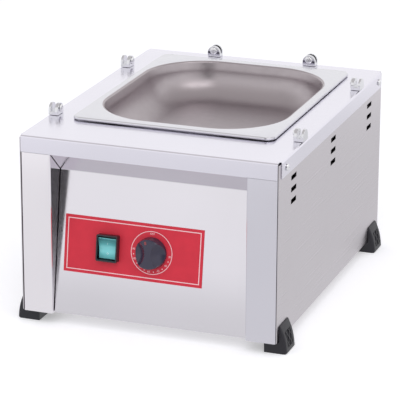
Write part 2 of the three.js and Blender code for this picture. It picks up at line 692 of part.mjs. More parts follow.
function foot() {
  const face = SIDE_OUT + GAP;
  const crest = BASE_Z + EAR_RISE;
  const [bulgeShare, heightShare] = EAR_BULGE_SHARES;
  const curve = new THREE.QuadraticBezierCurve(
    new THREE.Vector2(face + FOOT_REACH, FOOT_ROUND),
    new THREE.Vector2(face + FOOT_REACH * bulgeShare, crest * heightShare),
    new THREE.Vector2(face + EAR_TIP, crest));
  const outline = [
    new THREE.Vector2(face - FOOT_INSET, 0),
    new THREE.Vector2(face + FOOT_REACH - FOOT_ROUND, 0),
    ...curve.getPoints(CURVE_STEPS),
    new THREE.Vector2(face, crest),
    new THREE.Vector2(face, BASE_Z - GAP),
    new THREE.Vector2(face - FOOT_INSET, BASE_Z - GAP),
  ];
  const [low, high] = POCKET_SPAN_SHARES;
  const band = (distance) => Array.from({ length: CURVE_STEPS + 1 }, (_, k) => {
    const share = low + (high - low) * k / CURVE_STEPS;
    const way = curve.getTangent(share);
    return curve.getPoint(share).addScaledVector(new THREE.Vector2(way.y, -way.x), distance);
  });
  const pocket = alongY(
    [...band(OVERRUN), ...band(-POCKET_DEPTH).reverse()],
    POCKET_MARGIN - FOOT_LENGTH / 2, FOOT_LENGTH / 2 - POCKET_MARGIN);
  const middle = curve.getPoint((low + high) / 2);
  const bars = [-1, 1].flatMap((lean) => [-1, 0, 1].map((step) => (
    new THREE.BoxGeometry(4 * OVERRUN, LATTICE_BAR, 2 * FOOT_LENGTH)
      .rotateX(lean * LATTICE_LEAN).translate(middle.x, step * LATTICE_STEP, middle.y))));
  const screwX = SIDE_OUT - FOOT_SCREW_INSET;
  return cut(
    alongY(outline, -FOOT_LENGTH / 2, FOOT_LENGTH / 2),
    cut(pocket, ...bars),
    rod(COUNTERBORE / 2, -OVERRUN, COUNTERBORE_DEPTH).translate(screwX, 0, 0),
    screwBore(-OVERRUN, BASE_Z + OVERRUN).translate(screwX, 0, 0));
}

// Wet side

function tank() {
  const wallHole = (x, z, radius) => rod(radius, -OVERRUN, OVERRUN)
    .rotateX(Math.PI / 2).translate(x, TANK_FRONT, z);
  return cut(
    loft(tankLoops()),
    wallHole(-ELEMENT_LEG, ELEMENT_Z, ELEMENT_TUBE / 2 + GAP),
    wallHole(ELEMENT_LEG, ELEMENT_Z, ELEMENT_TUBE / 2 + GAP),
    wallHole(0, CAPILLARY_Z, CAPILLARY_PLUG / 2 + GAP));
}

// A loop of sheathed tube just above the tank floor, its two legs through the front wall.
function heatingElement() {
  const near = TANK_FRONT + ELEMENT_INSET;
  const far = TANK_FRONT + TANK_LENGTH - ELEMENT_INSET;
  const reach = TANK_WIDTH / 2 - ELEMENT_INSET;
  const tail = TANK_FRONT - SHEET - ELEMENT_TAIL;
  const loop = [
    [-ELEMENT_LEG, tail], [-ELEMENT_LEG, near], [-reach, near], [-reach, far],
    [reach, far], [reach, near], [ELEMENT_LEG, near], [ELEMENT_LEG, tail]];
  const collars = [-1, 1].map((side) => rod(ELEMENT_COLLAR / 2, 0, ELEMENT_COLLAR_THICKNESS)
    .rotateX(-Math.PI / 2).translate(side * ELEMENT_LEG, TANK_FRONT + GAP, ELEMENT_Z));
  return join(pipe(loop.map(([x, y]) => [x, y, ELEMENT_Z]), ELEMENT_BEND, ELEMENT_TUBE / 2), ...collars);
}

// A strip that stands on the tank floor and carries the far end of the element.
function elementSupport() {
  const far = TANK_FRONT + TANK_LENGTH - ELEMENT_INSET;
  const foot = TANK_FLOOR + GAP;
  const crest = ELEMENT_Z - ELEMENT_TUBE / 2 - GAP;
  const fold = foldedSheet([
    [far + SUPPORT_FOOT / 2, crest], [far - SUPPORT_FOOT / 2, crest],
    [far - SUPPORT_FOOT / 2, foot], [far + SUPPORT_FOOT / 2, foot]]);
  return alongX(fold, -SUPPORT_WIDTH / 2, SUPPORT_WIDTH / 2);
}

// From the back of the thermostat, down and through the tank wall, ending in the bulb.
function capillary() {
  const back = SHEET + GAP + THERMOSTAT_DEPTH + GAP;
  const start = new THREE.Vector3(KNOB_X, back, CONTROL_LINE).applyMatrix4(onPanel);
  const bulbStart = TANK_FRONT + BULB_INSET;
  const route = [
    [start.x, start.y, start.z],
    [start.x, start.y + CAPILLARY_STANDOFF, start.z],
    [0, start.y + CAPILLARY_STANDOFF, CAPILLARY_Z],
    [0, bulbStart + BULB, CAPILLARY_Z]];
  const bulb = turned([
    [0, 0], [CAPILLARY, 0], [BULB / 2, CAPILLARY], [BULB / 2, BULB_LENGTH - CAPILLARY],
    [CAPILLARY, BULB_LENGTH], [0, BULB_LENGTH]], TUBE_SIDES);
  return join(
    pipe(route, CAPILLARY_BEND, CAPILLARY / 2),
    bulb.rotateX(-Math.PI / 2).translate(0, bulbStart, CAPILLARY_Z));
}

// A plug through the tank wall with a hexagon outside, bored for the capillary.
function capillaryGland() {
  const bore = CAPILLARY / 2 + GAP;
  const holes = [polygon(TUBE_SIDES, bore)];
  return join(
    alongZ(hexagon(CAPILLARY_NUT), 0, CAPILLARY_NUT_THICKNESS, holes),
    alongZ(polygon(ROUND_SIDES, CAPILLARY_PLUG / 2), -SHEET - 2 * GAP, GAP, holes));
}

// Controls, in the panel's own frame: x across, z up the slope, outward along -Y

const outward = (points, from, to, holes) => alongY(points, -to, -from, holes);

function label() {
  const film = rectangle(LABEL_WIDTH, LABEL_HEIGHT, 0, LABEL_X, CONTROL_LINE);
  return outward(film, FILM_GAP, LABEL_FACE, controlHoles());
}

function switchHousing() {
  const seat = LABEL_FACE + FILM_GAP;
  const collar = rectangle(COLLAR_WIDTH, COLLAR_HEIGHT, COLLAR_CORNER);
  const well = rectangle(WELL_WIDTH, WELL_HEIGHT, COLLAR_CORNER / 2);
  const blades = [-1, 0, 1].map((step) => block(
    [-BLADE_WIDTH / 2, SWITCH_DEPTH - GAP, step * BLADE_PITCH - BLADE_THICKNESS / 2],
    [BLADE_WIDTH / 2, SWITCH_DEPTH + BLADE_LENGTH, step * BLADE_PITCH + BLADE_THICKNESS / 2]));
  return cut(
    join(
      outward(collar, seat, seat + COLLAR_RISE),
      outward(rectangle(HOUSING_WIDTH, HOUSING_HEIGHT, 0), -SWITCH_DEPTH, seat + GAP),
      ...blades),
    outward(well, -SWITCH_WELL, seat + COLLAR_RISE + OVERRUN));
}

// The rocker in its own frame: the pivot is the origin and both ends stand equally high.
function rocker() {
  const half = WELL_HEIGHT / 2 - ROCKER_END;
  const profile = rounded([
    [-ROCKER_HEIGHT, half, ROCKER_ROUND],
    [-ROCKER_HEIGHT + ROCKER_DISH, 0],
    [-ROCKER_HEIGHT, -half, ROCKER_ROUND],
    [ROCKER_BACK, -half, ROCKER_ROUND],
    [ROCKER_BACK, half, ROCKER_ROUND],
  ]);
  const reach = WELL_WIDTH / 2 - ROCKER_PLAY;
  return alongX(profile, -reach, reach);
}

// A drum with a round scoop from each side that leaves a waisted grip bar, bored from behind for
// the shaft. Each scoop is part of a ball that meets the face in a circle from one end of the bar
// round its waist to the other.
function knob() {
  const drum = turned([
    [0, 0],
    [KNOB_BASE / 2, 0],
    [KNOB_BASE / 2, KNOB_EDGE],
    [KNOB_FACE / 2, KNOB_HEIGHT - KNOB_EDGE],
    [KNOB_FACE / 2 - KNOB_EDGE, KNOB_HEIGHT],
    [0, KNOB_HEIGHT],
  ], KNOB_SIDES);
  const waist = GRIP_WAIST / 2;
  const flare = (GRIP_END - GRIP_WAIST) / 2;
  const end = Math.sqrt((KNOB_FACE / 2) ** 2 - (GRIP_END / 2) ** 2);
  const mouth = (flare ** 2 + end ** 2) / (2 * flare);
  const ball = (mouth ** 2 + SCOOP_DEPTH ** 2) / (2 * SCOOP_DEPTH);
  const scoops = [0, Math.PI].map((turn) => new THREE.SphereGeometry(ball, KNOB_SIDES, KNOB_SIDES / 2)
    .rotateX(Math.PI / 2)
    .translate(waist + mouth, 0, KNOB_HEIGHT + ball - SCOOP_DEPTH)
    .rotateZ(turn));
  const bore = rod(SHAFT / 2 + SHAFT_PLAY, -OVERRUN, SHAFT_IN_KNOB + GAP);
  return cut(drum, ...scoops, bore);
}

function thermostatBody() {
  const front = SHEET + GAP;
  const body = rod(THERMOSTAT_BODY / 2, -front - THERMOSTAT_DEPTH, -front);
  const yoke = alongZ(
    rectangle(YOKE_WIDTH, YOKE_LENGTH, YOKE_WIDTH / 3), -front - YOKE_THICKNESS, -front);
  const bore = rod(SHAFT / 2 + SHAFT_PLAY, -front - SHAFT_IN_BODY - GAP, OVERRUN);
  return cut(join(body, yoke), bore);
}

// Glass clips: two D-shaped cheeks on a floor, the screw through the inner one

function clipBody() {
  const radius = CLIP_WIDTH / 2;
  const arch = Array.from({ length: 2 * CURVE_STEPS + 1 }, (_, k) => {
    const angle = Math.PI * k / (2 * CURVE_STEPS);
    return new THREE.Vector2(radius * Math.cos(angle), CLIP_HEIGHT - radius + radius * Math.sin(angle));
  });
  const cheek = [new THREE.Vector2(-radius, 0), new THREE.Vector2(radius, 0), ...arch];
  const slot = block(
    [CLIP_OUTER_CHEEK, -radius - OVERRUN, CLIP_FLOOR],
    [CLIP_OUTER_CHEEK + CLIP_SLOT, radius + OVERRUN, CLIP_HEIGHT + OVERRUN]);
  const bore = screwBore(CLIP_OUTER_CHEEK + CLIP_SLOT / 2, CLIP_THICKNESS + OVERRUN)
    .rotateY(Math.PI / 2).translate(0, 0, CLIP_SCREW_RISE);
  const stud = rod(CLIP_STUD / 2, -CLIP_STUD_LENGTH, CLIP_FLOOR / 2, SCREW_SIDES)
    .translate(CLIP_THICKNESS / 2, 0, 0);
  return cut(join(alongX(cheek, 0, CLIP_THICKNESS), stud), slot, bore);
}

// Electrical pieces

function cordGland() {
  return turned([
    [GLAND_BORE / 2, -GLAND_INSIDE],
    [GLAND_THREAD / 2, -GLAND_INSIDE],
    [GLAND_THREAD / 2, 0],
    [GLAND_FLANGE / 2, 0],
    [GLAND_FLANGE / 2, GLAND_FLANGE_THICKNESS],
    [GLAND_TIP / 2, GLAND_REACH],
    [GLAND_BORE / 2, GLAND_REACH],
    [GLAND_BORE / 2, -GLAND_INSIDE],
  ]);
}

function terminalBlock() {
  const low = PLATE_Z + SHEET + GAP;
  const bores = Array.from({ length: BLOCK_WAYS }, (_, k) => (
    rod(BLOCK_BORE / 2, -BLOCK_WIDTH, BLOCK_WIDTH, SCREW_SIDES).rotateX(Math.PI / 2)
      .translate(BLOCK_LENGTH / BLOCK_WAYS * (k - (BLOCK_WAYS - 1) / 2), 0, low + BLOCK_HEIGHT / 2)));
  const body = block(
    [-BLOCK_LENGTH / 2, -BLOCK_WIDTH / 2, low], [BLOCK_LENGTH / 2, BLOCK_WIDTH / 2, low + BLOCK_HEIGHT]);
  return cut(body, ...bores);
}

// A threaded stud through the bottom plate with its nut drawn up on it.
function earthStud() {
  const low = PLATE_Z + SHEET + GAP;
  return join(
    rod(EARTH_THREAD / 2, PLATE_Z - GAP, low + EARTH_LENGTH),
    alongZ(hexagon(EARTH_NUT), low, low + EARTH_NUT_THICKNESS));
}

// Assembly

const rearPlaces = [
  ['upper_left', -REAR_SCREW_X, BODY_DEPTH, SCREW_Z],
  ['upper_right', REAR_SCREW_X, BODY_DEPTH, SCREW_Z],
  ['lower_left', -REAR_SCREW_X, REAR_FACE, LOW_SCREW_Z],
  ['lower_right', REAR_SCREW_X, REAR_FACE, LOW_SCREW_Z],
];

piece('top_panel', 'polished', topPanel());
piece('side_panel_right', 'brushed', sidePanel());
piece('side_panel_left', 'brushed', mirrored(sidePanel()));
piece('post_right', 'polished', post());
piece('post_left', 'polished', mirrored(post()));
piece('control_panel', 'polished', controlPanel());
piece('rear_panel', 'brushed', rearPanel());
piece('bottom_plate', 'brushed', bottomPlate());

piece('tank', 'brushed', tank());
piece('pan', 'satin', loft(panLoops()));
piece('heating_element', 'satin', heatingElement());
piece('element_support', 'satin', elementSupport());
['left', 'right'].forEach((name, i) => {
  const mesh = piece(`element_nut_${name}`, 'brass', nut(NUT_FLATS, ELEMENT_TUBE, NUT_THICKNESS));
  mesh.rotation.x = Math.PI / 2;
  mesh.position.set((2 * i - 1) * ELEMENT_LEG, TANK_FRONT - SHEET - GAP, ELEMENT_Z);
});
piece('capillary', 'copper', capillary());
const gland = piece('capillary_gland', 'brass', capillaryGland());
gland.rotation.x = Math.PI / 2;
gland.position.set(0, TANK_FRONT - SHEET - GAP, CAPILLARY_Z);

footPlaces.forEach(([name, side, y]) => {
  const shape = foot();
  piece(`foot_${name}`, 'black', side < 0 ? mirrored(shape) : shape).position.y = y;
  const fixing = piece(`foot_screw_${name}`, 'satin', screw(FOOT_SCREW_LENGTH));
  fixing.rotation.x = Math.PI;
  fixing.position.set(side * (SIDE_OUT - FOOT_SCREW_INSET), y, COUNTERBORE_DEPTH - GAP);
});

const controls = new THREE.Group();
controls.position.set(0, PANEL_FOOT_SETBACK, BASE_Z);
controls.rotation.x = -PANEL_LEAN;
cabinet.add(controls);
piece('control_label', 'red', label(), controls);
piece('switch_housing', 'black', switchHousing(), controls).position.set(SWITCH_X, 0, CONTROL_LINE);
const switchRocker = piece('switch_rocker', 'teal', rocker(), controls);
switchRocker.position.set(SWITCH_X, -ROCKER_PIVOT, CONTROL_LINE);
switchRocker.rotation.x = ROCKER_TILT;

const thermostat = new THREE.Group();
thermostat.position.set(KNOB_X, 0, CONTROL_LINE);
thermostat.rotation.x = Math.PI / 2;
controls.add(thermostat);
const knobSeat = LABEL_FACE + KNOB_LIFT;
piece('thermostat_body', 'pale', thermostatBody(), thermostat);
const shaft = rod(SHAFT / 2, -SHEET - GAP - SHAFT_IN_BODY, knobSeat + SHAFT_IN_KNOB);
piece('thermostat_shaft', 'satin', shaft, thermostat);
piece('thermostat_knob', 'knob', knob(), thermostat).position.z = knobSeat;

clipPlaces.forEach(([name, x, y, turn]) => {
  const seat = new THREE.Group();
  seat.position.set(x, y, TOP_Z + GAP);
  seat.rotation.z = turn;
  cabinet.add(seat);
  piece(`clip_${name}`, 'chrome', clipBody(), seat);
  const clipScrew = screw(CLIP_INNER_CHEEK, CLIP_SCREW_HEAD, CLIP_SCREW_CROWN);
  const fixing = piece(`clip_screw_${name}`, 'chrome', clipScrew, seat);
  fixing.rotation.y = Math.PI / 2;
  fixing.position.set(CLIP_THICKNESS + GAP, 0, CLIP_SCREW_RISE);
});

[['left', -1], ['right', 1]].forEach(([name, side]) => {
  sidePlaces.forEach((y, i) => {
    const fixing = piece(`side_screw_${name}_${i ? 'rear' : 'front'}`, 'chrome', screw(SCREW_LENGTH));
    fixing.rotation.y = side * Math.PI / 2;
    fixing.position.set(side * (BODY_WIDTH / 2 + GAP), y, SCREW_Z);
  });
});
rearPlaces.forEach(([name, x, y, z]) => {
  const fixing = piece(`rear_screw_${name}`, 'chrome', screw(SCREW_LENGTH));
  fixing.rotation.x = -Math.PI / 2;
  fixing.position.set(x, y + GAP, z);
});

const cordExit = new THREE.Group();
cordExit.position.set(GLAND_X, REAR_FACE + GAP, BASE_Z + GLAND_RISE);
cordExit.rotation.x = -Math.PI / 2;
cabinet.add(cordExit);
piece('cord_gland', 'black', cordGland(), cordExit);
piece('cord_gland_nut', 'black', nut(GLAND_NUT_FLATS, GLAND_THREAD, GLAND_NUT_THICKNESS), cordExit)
  .position.z = -2 * GAP - SHEET - GLAND_NUT_THICKNESS;
piece('terminal_block', 'pale', terminalBlock()).position.set(BLOCK_X, BLOCK_Y, 0);
piece('earth_stud', 'brass', earthStud()).position.set(EARTH_X, BLOCK_Y, 0);

// The front face and the tip of the cord gland bound the footprint from front to back.
cabinet.position.y = -(REAR_FACE + GAP + GLAND_REACH) / 2;

const bainMarie = new THREE.Group();
bainMarie.add(cabinet);

export default bainMarie;
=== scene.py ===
"""Looks for a counter-top bain marie: polished sheet, a drawn food pan, controls and feet."""

import json
from math import atan2, cos, pi, radians, sin

import bmesh
import bpy
from bpy.props import FloatProperty, FloatVectorProperty, IntProperty, PointerProperty
from mathutils import Matrix, Vector


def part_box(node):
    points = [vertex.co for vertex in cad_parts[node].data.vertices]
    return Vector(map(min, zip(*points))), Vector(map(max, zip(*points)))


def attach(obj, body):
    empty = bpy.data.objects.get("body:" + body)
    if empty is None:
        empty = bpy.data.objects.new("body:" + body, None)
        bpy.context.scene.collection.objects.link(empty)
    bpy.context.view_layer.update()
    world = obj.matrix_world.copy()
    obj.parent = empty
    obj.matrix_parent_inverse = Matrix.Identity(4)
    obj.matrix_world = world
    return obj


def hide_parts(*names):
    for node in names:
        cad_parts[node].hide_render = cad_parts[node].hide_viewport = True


bl_info = {
    "name": "Bain Marie",
    "version": (1, 0, 0),
    "blender": (4, 5, 0),
    "location": "View3D > Sidebar > Bain Marie",
    "description": "Dresses a counter-top bain marie and sets it in a small studio",
    "category": "Object",
}

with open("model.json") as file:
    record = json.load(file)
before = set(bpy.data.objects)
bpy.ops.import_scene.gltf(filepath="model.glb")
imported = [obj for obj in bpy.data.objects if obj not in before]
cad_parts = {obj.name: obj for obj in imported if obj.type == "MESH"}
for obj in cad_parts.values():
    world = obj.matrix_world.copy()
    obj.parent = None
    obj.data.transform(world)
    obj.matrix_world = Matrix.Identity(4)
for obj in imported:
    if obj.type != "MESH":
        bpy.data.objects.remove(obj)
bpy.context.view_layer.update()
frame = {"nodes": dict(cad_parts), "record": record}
JOINTS = {joint["name"]: joint for joint in frame["record"]["behaviour"]["joints"]}
NODES = sorted(frame["nodes"])

# The control panel leans back; its frame has x across, y into the panel and z up the slope,
# with the knob's centre as the origin.
KNOB_AXIS = Vector(JOINTS["knob_turn"]["axis"])
PANEL_LEAN = atan2(-KNOB_AXIS.z, KNOB_AXIS.y)
PANEL = Matrix.Translation(JOINTS["knob_turn"]["pos_m"]) @ Matrix.Rotation(-PANEL_LEAN, 4, "X")

# The unit of the finest relief, and two thicknesses, in metres.
MICRON = 1e-6
PAN_SHEET = 0.0008
INK_THICKNESS = 0.00006

# How near two places are that count as one: CAD corners, points on one mesh, a foot's end.
CAD_MERGE = 1e-6
SAME_POINT = 1e-7
AT_END = 1e-5

# Faces that meet at less than FLAT_ANGLE are one flat face, and at less than SMOOTH_ANGLE they
# are shaded as one. Edges past SHARP_ANGLE are rounded, on the feet only past FOOT_SHARP_ANGLE.
FLAT_ANGLE = radians(0.5)
SMOOTH_ANGLE = radians(24)
SHARP_ANGLE = radians(30)
FOOT_SHARP_ANGLE = radians(50)

# Least cosine between a face's normal and a way that it faces, straight or roughly.
FACING = 0.9
ROUGHLY_FACING = 0.5

# Steps round quarter circles and letters, and segments of whole circles.
CORNER_STEPS = 16
RIM_STEPS = 4
ROLL_STEPS = 6
FILLET_STEPS = 14
DOME_STEPS = 6
FOOT_STEPS = 5
LETTER_STEPS = 3
RING_SEGMENTS = 72
SCREW_SEGMENTS = 32
DOT_SEGMENTS = 12

# Cells of a metal's grain in a metre, along x, y and z.
GRAIN_X = (6, 900, 900)
GRAIN_Y = (900, 6, 900)
GRAIN_Z = (900, 900, 6)
DRAWN_GRAIN = (120, 120, 120)
FINE_GRAIN = (300, 300, 300)

# The middle band that nearly all of a noise lies in, and by what share it moves the roughness.
NOISE_LOW = 0.3
NOISE_HIGH = 0.7
METAL_WANDER = 0.12
PLASTIC_WANDER = 0.15

# A turned screw's head: shares of its radius, then of its crown's height, then the cross's turn.
DOME_INSET = 0.5
RECESS_REACH = 0.40
RECESS_HALF_WIDTH = 0.11
RECESS_LEAN = 0.3
EDGE_HEIGHT = 0.3
DOME_HEIGHT = 0.7
RECESS_DEPTH = 0.4
CROSS_TURN = radians(45)

# The studio, in metres: its floor, the point that its lamps face, and how far the camera sees.
FLOOR_SIZE = 12.0
LAMP_AIM = Vector((0, 0, 0.12))
CAMERA_REACH = 50.0

# The camera's sensor in millimetres, and the finish of the floor and the card.
SENSOR_WIDTH = 36
MATT = 0.9
FLOOR_SHINE = 0.1
CARD_TONE = (0.02, 0.02, 0.02)

# Name, place, width, depth, power in watts, and whether the metal mirrors the lamp.
SOFTBOXES = (
    ("Front softbox", (0.5, -1.9, 1.5), 1.0, 1.0, 8, False),
    ("Strip softbox", (0.7, -0.9, 2.0), 1.8, 0.6, 6, True),
)


def size_of(node):
    low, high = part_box(node)
    return Vector(high) - Vector(low)


def centre_of(node):
    low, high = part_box(node)
    return (Vector(low) + Vector(high)) / 2


def length(name, description, default):
    return FloatProperty(name=name, description=description, default=default, min=0.0,
                         unit="LENGTH", precision=4)


def colour(name, description, default):
    return FloatVectorProperty(name=name, description=description, default=default, size=3,
                               min=0.0, max=1.0, subtype="COLOR")


class BainMarieCabinet(bpy.types.PropertyGroup):
    polished: colour("Polished steel", "Top panel", (0.83, 0.81, 0.89))
    # The panel steel is a darker copy of the top's polished steel: painted shade, set for the
    # soffit under the apron.
    panel: colour("Panel steel", "Control panel", (0.78, 0.757, 0.80))
    # Both posts are one polished steel: the left post's lighter copy is painted light, the right
    # post's duller copy is painted shade.
    left_post: colour("Left post", "Brighter of the two posts", (0.98, 0.94, 0.99))
    right_post: colour("Right post", "Duller of the two posts", (0.76, 0.745, 0.81))
    sheet: colour("Sheet steel", "Side panels, rear, bottom and tank", (0.665, 0.63, 0.66))
    plastic: colour("Black plastic", "Feet, cord gland and the switch's collar",
                    (0.013, 0.012, 0.018))
    chrome: colour("Chrome", "Glass clips", (0.76, 0.76, 0.79))
    screw: colour("Screw chrome", "Duller chrome of the screws in view", (0.88, 0.88, 0.90))
    foot_screw: colour("Screw steel", "Screws of the feet", (0.5, 0.5, 0.52))
    sheath: colour("Element sheath", "Heating element and thermostat shaft", (0.42, 0.40, 0.38))
    brass: colour("Brass", "Element nuts, capillary gland and earth stud", (0.72, 0.52, 0.24))
    copper: colour("Copper", "Capillary and its bulb", (0.74, 0.38, 0.24))
    case: colour("Thermostat case", "Thermostat body and terminal block", (0.72, 0.69, 0.60))
    foot_edge: length("Foot edge", "Rounding on the moulded edges of the feet", 0.0005)
    foot_corner: length("Foot corner", "Rounding down the ends of a foot's outer face", 0.0024)
    clip_edge: length("Clip edge", "Rounding on the edges of the glass clips", 0.0004)
    clip_crown: length("Clip screw crown", "Height of a clip screw's head", 0.002)
    screw_crown: length("Screw crown", "Height of the other screws' heads", 0.0024)
    screw_shank: length("Screw shank", "Diameter of the screws", 0.004)


class BainMariePan(bpy.types.PropertyGroup):
    # The inside is the flange's steel painted darker and warmer: painted shade in the pan's hollow,
    # with a painted warm reflection.
    steel: colour("Pan steel", "Satin drawn steel inside the pan", (0.465, 0.42, 0.44))
    flange: colour("Flange steel", "Polished steel of the flange", (0.75, 0.745, 0.79))
    depth: length("Depth", "Depth below the flange", size_of("pan").z - PAN_SHEET)
    sheet: length("Sheet", "Thickness of the pan's wall", PAN_SHEET)
    mouth_width: length("Mouth width", "Between the side walls at the roll", 0.240)
    mouth_length: length("Mouth length", "Between the end walls at the roll", 0.292)
    wall_corner: length("Wall corner", "Corner radius of the mouth", 0.080)
    roll: length("Roll", "Radius from the flange into the wall", 0.003)
    taper: length("Taper", "How far the walls draw in", 0.0025)
    floor_round: length("Floor fillet", "Radius from the wall to the floor", 0.038)
    rim: length("Rim", "Height of the flange's turned edge", 0.0035)
    rim_bend: length("Rim bend", "Radius on the flange's outer edge", 0.0016)
    corner: length("Flange corner", "Corner radius of the flange", 0.012)


class BainMarieControls(bpy.types.PropertyGroup):
    film: colour("Label", "Red printed film", (0.66, 0.034, 0.058))
    ink: colour("Label ink", "Pale border and dial scale", (0.90, 0.62, 0.64))
    rocker: colour("Rocker", "Lit teal rocker", (0.19, 0.64, 0.65))
    rocker_ink: colour("Rocker ink", "Pale marks on the rocker", (0.70, 0.86, 0.86))
    rocker_mark: length("Rocker mark", "Height of the marks on the rocker", 0.0034)
    collar_edge: length("Collar edge", "Rounding on the switch's collar", 0.0006)
    rocker_edge: length("Rocker edge", "Rounding on the rocker", 0.0005)
    knob: colour("Knob", "Dark knob", (0.036, 0.033, 0.060))
    pointer: colour("Pointer", "Red mark on the knob", (0.26, 0.04, 0.045))
    pointer_width: length("Pointer width", "Width of the mark on the knob", 0.0026)
    pointer_height: length("Pointer height", "Height of the mark on the knob", 0.0040)
    pointer_radius: length("Pointer radius", "From the knob's centre to its mark", 0.0145)
    pointer_turn: FloatProperty(name="Pointer turn", description="Clockwise from the top",
                                default=radians(-14), subtype="ANGLE")
    border_inset: length("Border inset", "From the label's edge to its border line", 0.0036)
    border_line: length("Border line", "Width of the border line", 0.0011)
    ring: length("Ring radius", "Radius of the dial's circle", 0.0271)
    ring_line: length("Ring line", "Width of the dial's circle", 0.0008)
    dot: length("Dot radius", "Radius of the dots between the numbers", 0.00072)
    numerals: length("Numeral height", "Height of the numbers on the dial", 0.0036)
    numeral_radius: length("Numeral radius", "From the knob's centre to the numbers", 0.0237)
    first_number: IntProperty(name="First number", description="Start of the scale", default=30)
    number_step: IntProperty(name="Number step", description="Between two numbers", default=10)
    numbers: IntProperty(name="Numbers", description="How many numbers the dial has", default=7)
    scale_start: FloatProperty(name="Scale start", description="Clockwise from the top",
                               default=radians(96), subtype="ANGLE")
    scale_end: FloatProperty(name="Scale end", description="Clockwise from the top",
                             default=radians(276), subtype="ANGLE")


class BainMarieStudio(bpy.types.PropertyGroup):
    target: FloatVectorProperty(name="Target", description="Point that the camera looks at",
                                default=(-0.01196, -0.00596, 0.10833), unit="LENGTH", precision=4)
    azimuth: FloatProperty(name="Azimuth", description="Camera round the object",
                           default=radians(20.01), subtype="ANGLE")
    elevation: FloatProperty(name="Elevation", description="Camera above the horizon",
                             default=radians(18.63), subtype="ANGLE")
    roll: FloatProperty(name="Roll", description="Camera about its own axis",
                        default=radians(0.20), subtype="ANGLE")
    distance: length("Distance", "Camera from its target", 3.0178)
    lens: FloatProperty(name="Lens", description="Focal length in millimetres", default=209.08)
    floor: colour("Floor", "Pale floor", (0.86, 0.86, 0.87))
    floor_lift: FloatProperty(name="Floor lift", description="Brings the lit floor up to white",
                              default=0.33)
    mirrored: colour("Mirrored floor", "Cool white of the floor in the metal", (0.98, 0.98, 1.0))
    # Near the object the floor in the metal is dimmer: painted shade.
    near_floor_painted_shade: FloatProperty(name="Near floor", description="Floor by the object, in the metal",
                              default=0.78)
    far_floor: FloatProperty(name="Far floor", description="Floor away from it, in the metal",
                             default=1.0)
    near: length("Near", "Where the mirrored floor starts to brighten", 0.85)
    far: length("Far", "Where the mirrored floor is brightest", 1.15)
    room: colour("Room", "Light that the room gives", (0.76, 0.76, 0.80))
    ceiling_low: FloatProperty(name="Ceiling low", description="Where the white starts to darken",
                               default=radians(32), subtype="ANGLE")
    ceiling_high: FloatProperty(name="Ceiling high", description="Where the ceiling is darkest",
                                default=radians(50), subtype="ANGLE")
    ceiling: colour("Ceiling", "Darker ceiling that the metal mirrors", (0.62, 0.60, 0.60))
    card: FloatVectorProperty(name="Dark card", description="Card's foot; only the metal shows it",
                              default=(0.204, -1.165, 0), unit="LENGTH", precision=4)
    card_turn: FloatProperty(name="Card turn", description="Card round its foot",
                             default=radians(18.9), subtype="ANGLE")
    tongue_width: length("Tongue width", "Width of the card's tongue on the floor", 0.12)
    tongue_length: length("Tongue length", "From the card toward the object", 0.40)
    card_width: length("Card width", "Width of the dark card", 0.52)
    card_height: length("Card height", "Height of the dark card", 1.0)


# Mesh helpers

def link_mesh(bm, name, material):
    """Makes a bmesh an object of the scene, in one material."""
    mesh = bpy.data.meshes.new(name)
    bm.to_mesh(mesh)
    bm.free()
    mesh.materials.append(material)
    made = bpy.data.objects.new(name, mesh)
    bpy.context.scene.collection.objects.link(made)
    return made


def finish_mesh(bm, name, material, body, replaced=(), place=None, smooth=True):
    """Turns a bmesh into a piece of the object that rides on a body."""
    if place is not None:
        bm.transform(place)
    piece = link_mesh(bm, name, material)
    for polygon in piece.data.polygons:
        polygon.use_smooth = smooth
    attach(piece, body)
    if replaced:
        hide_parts(*replaced)
    return piece


def shade_curves_smooth(bm):
    """Marks edges where faces meet at a small angle as smooth, and all others as sharp."""
    for edge in bm.edges:
        edge.smooth = edge.calc_face_angle(0) < SMOOTH_ANGLE


def merged_copy(node):
    """The CAD node's mesh with its triangles joined and its flat faces whole."""
    bm = bmesh.new()
    bm.from_mesh(frame["nodes"][node].data)
    bmesh.ops.remove_doubles(bm, verts=bm.verts, dist=CAD_MERGE)
    bmesh.ops.dissolve_limit(bm, angle_limit=FLAT_ANGLE, verts=bm.verts, edges=bm.edges)
    shade_curves_smooth(bm)
    return bm


def bevel_edges(piece, width, segments=2, angle=SHARP_ANGLE):
    """Rounds the edges of a piece that are sharper than an angle."""
    bevel = piece.modifiers.new("Edges", "BEVEL")
    bevel.width = width
    bevel.segments = segments
    bevel.limit_method = "ANGLE"
    bevel.angle_limit = angle
    bevel.harden_normals = True
    bevel.use_clamp_overlap = False


def flat_rectangle(bm, width, depth):
    """A flat face of one cell, facing up, with its middle at the origin."""
    verts = bmesh.ops.create_grid(bm, x_segments=1, y_segments=1, size=0.5)["verts"]
    bmesh.ops.scale(bm, vec=(width, depth, 1), verts=verts)
    return verts


def rounded_rectangle(bm, width, depth, radius, height):
    """A flat face with round corners at a height, larger than any other face in the bmesh."""
    verts = flat_rectangle(bm, width, depth)
    bmesh.ops.translate(bm, vec=(0, 0, height), verts=verts)
    bmesh.ops.bevel(bm, geom=verts, offset=radius, offset_type="OFFSET", segments=CORNER_STEPS,
                    profile=0.5, affect="VERTICES", clamp_overlap=False, material=-1)
    return max(bm.faces, key=lambda face: face.calc_area())


def sink(bm, faces, thickness, depth=0.0):
    """Insets flat faces and moves them along their normal, with a wall behind them."""
    bmesh.ops.inset_region(bm, faces=faces, thickness=thickness, depth=depth,
                           use_boundary=True, use_even_offset=True)


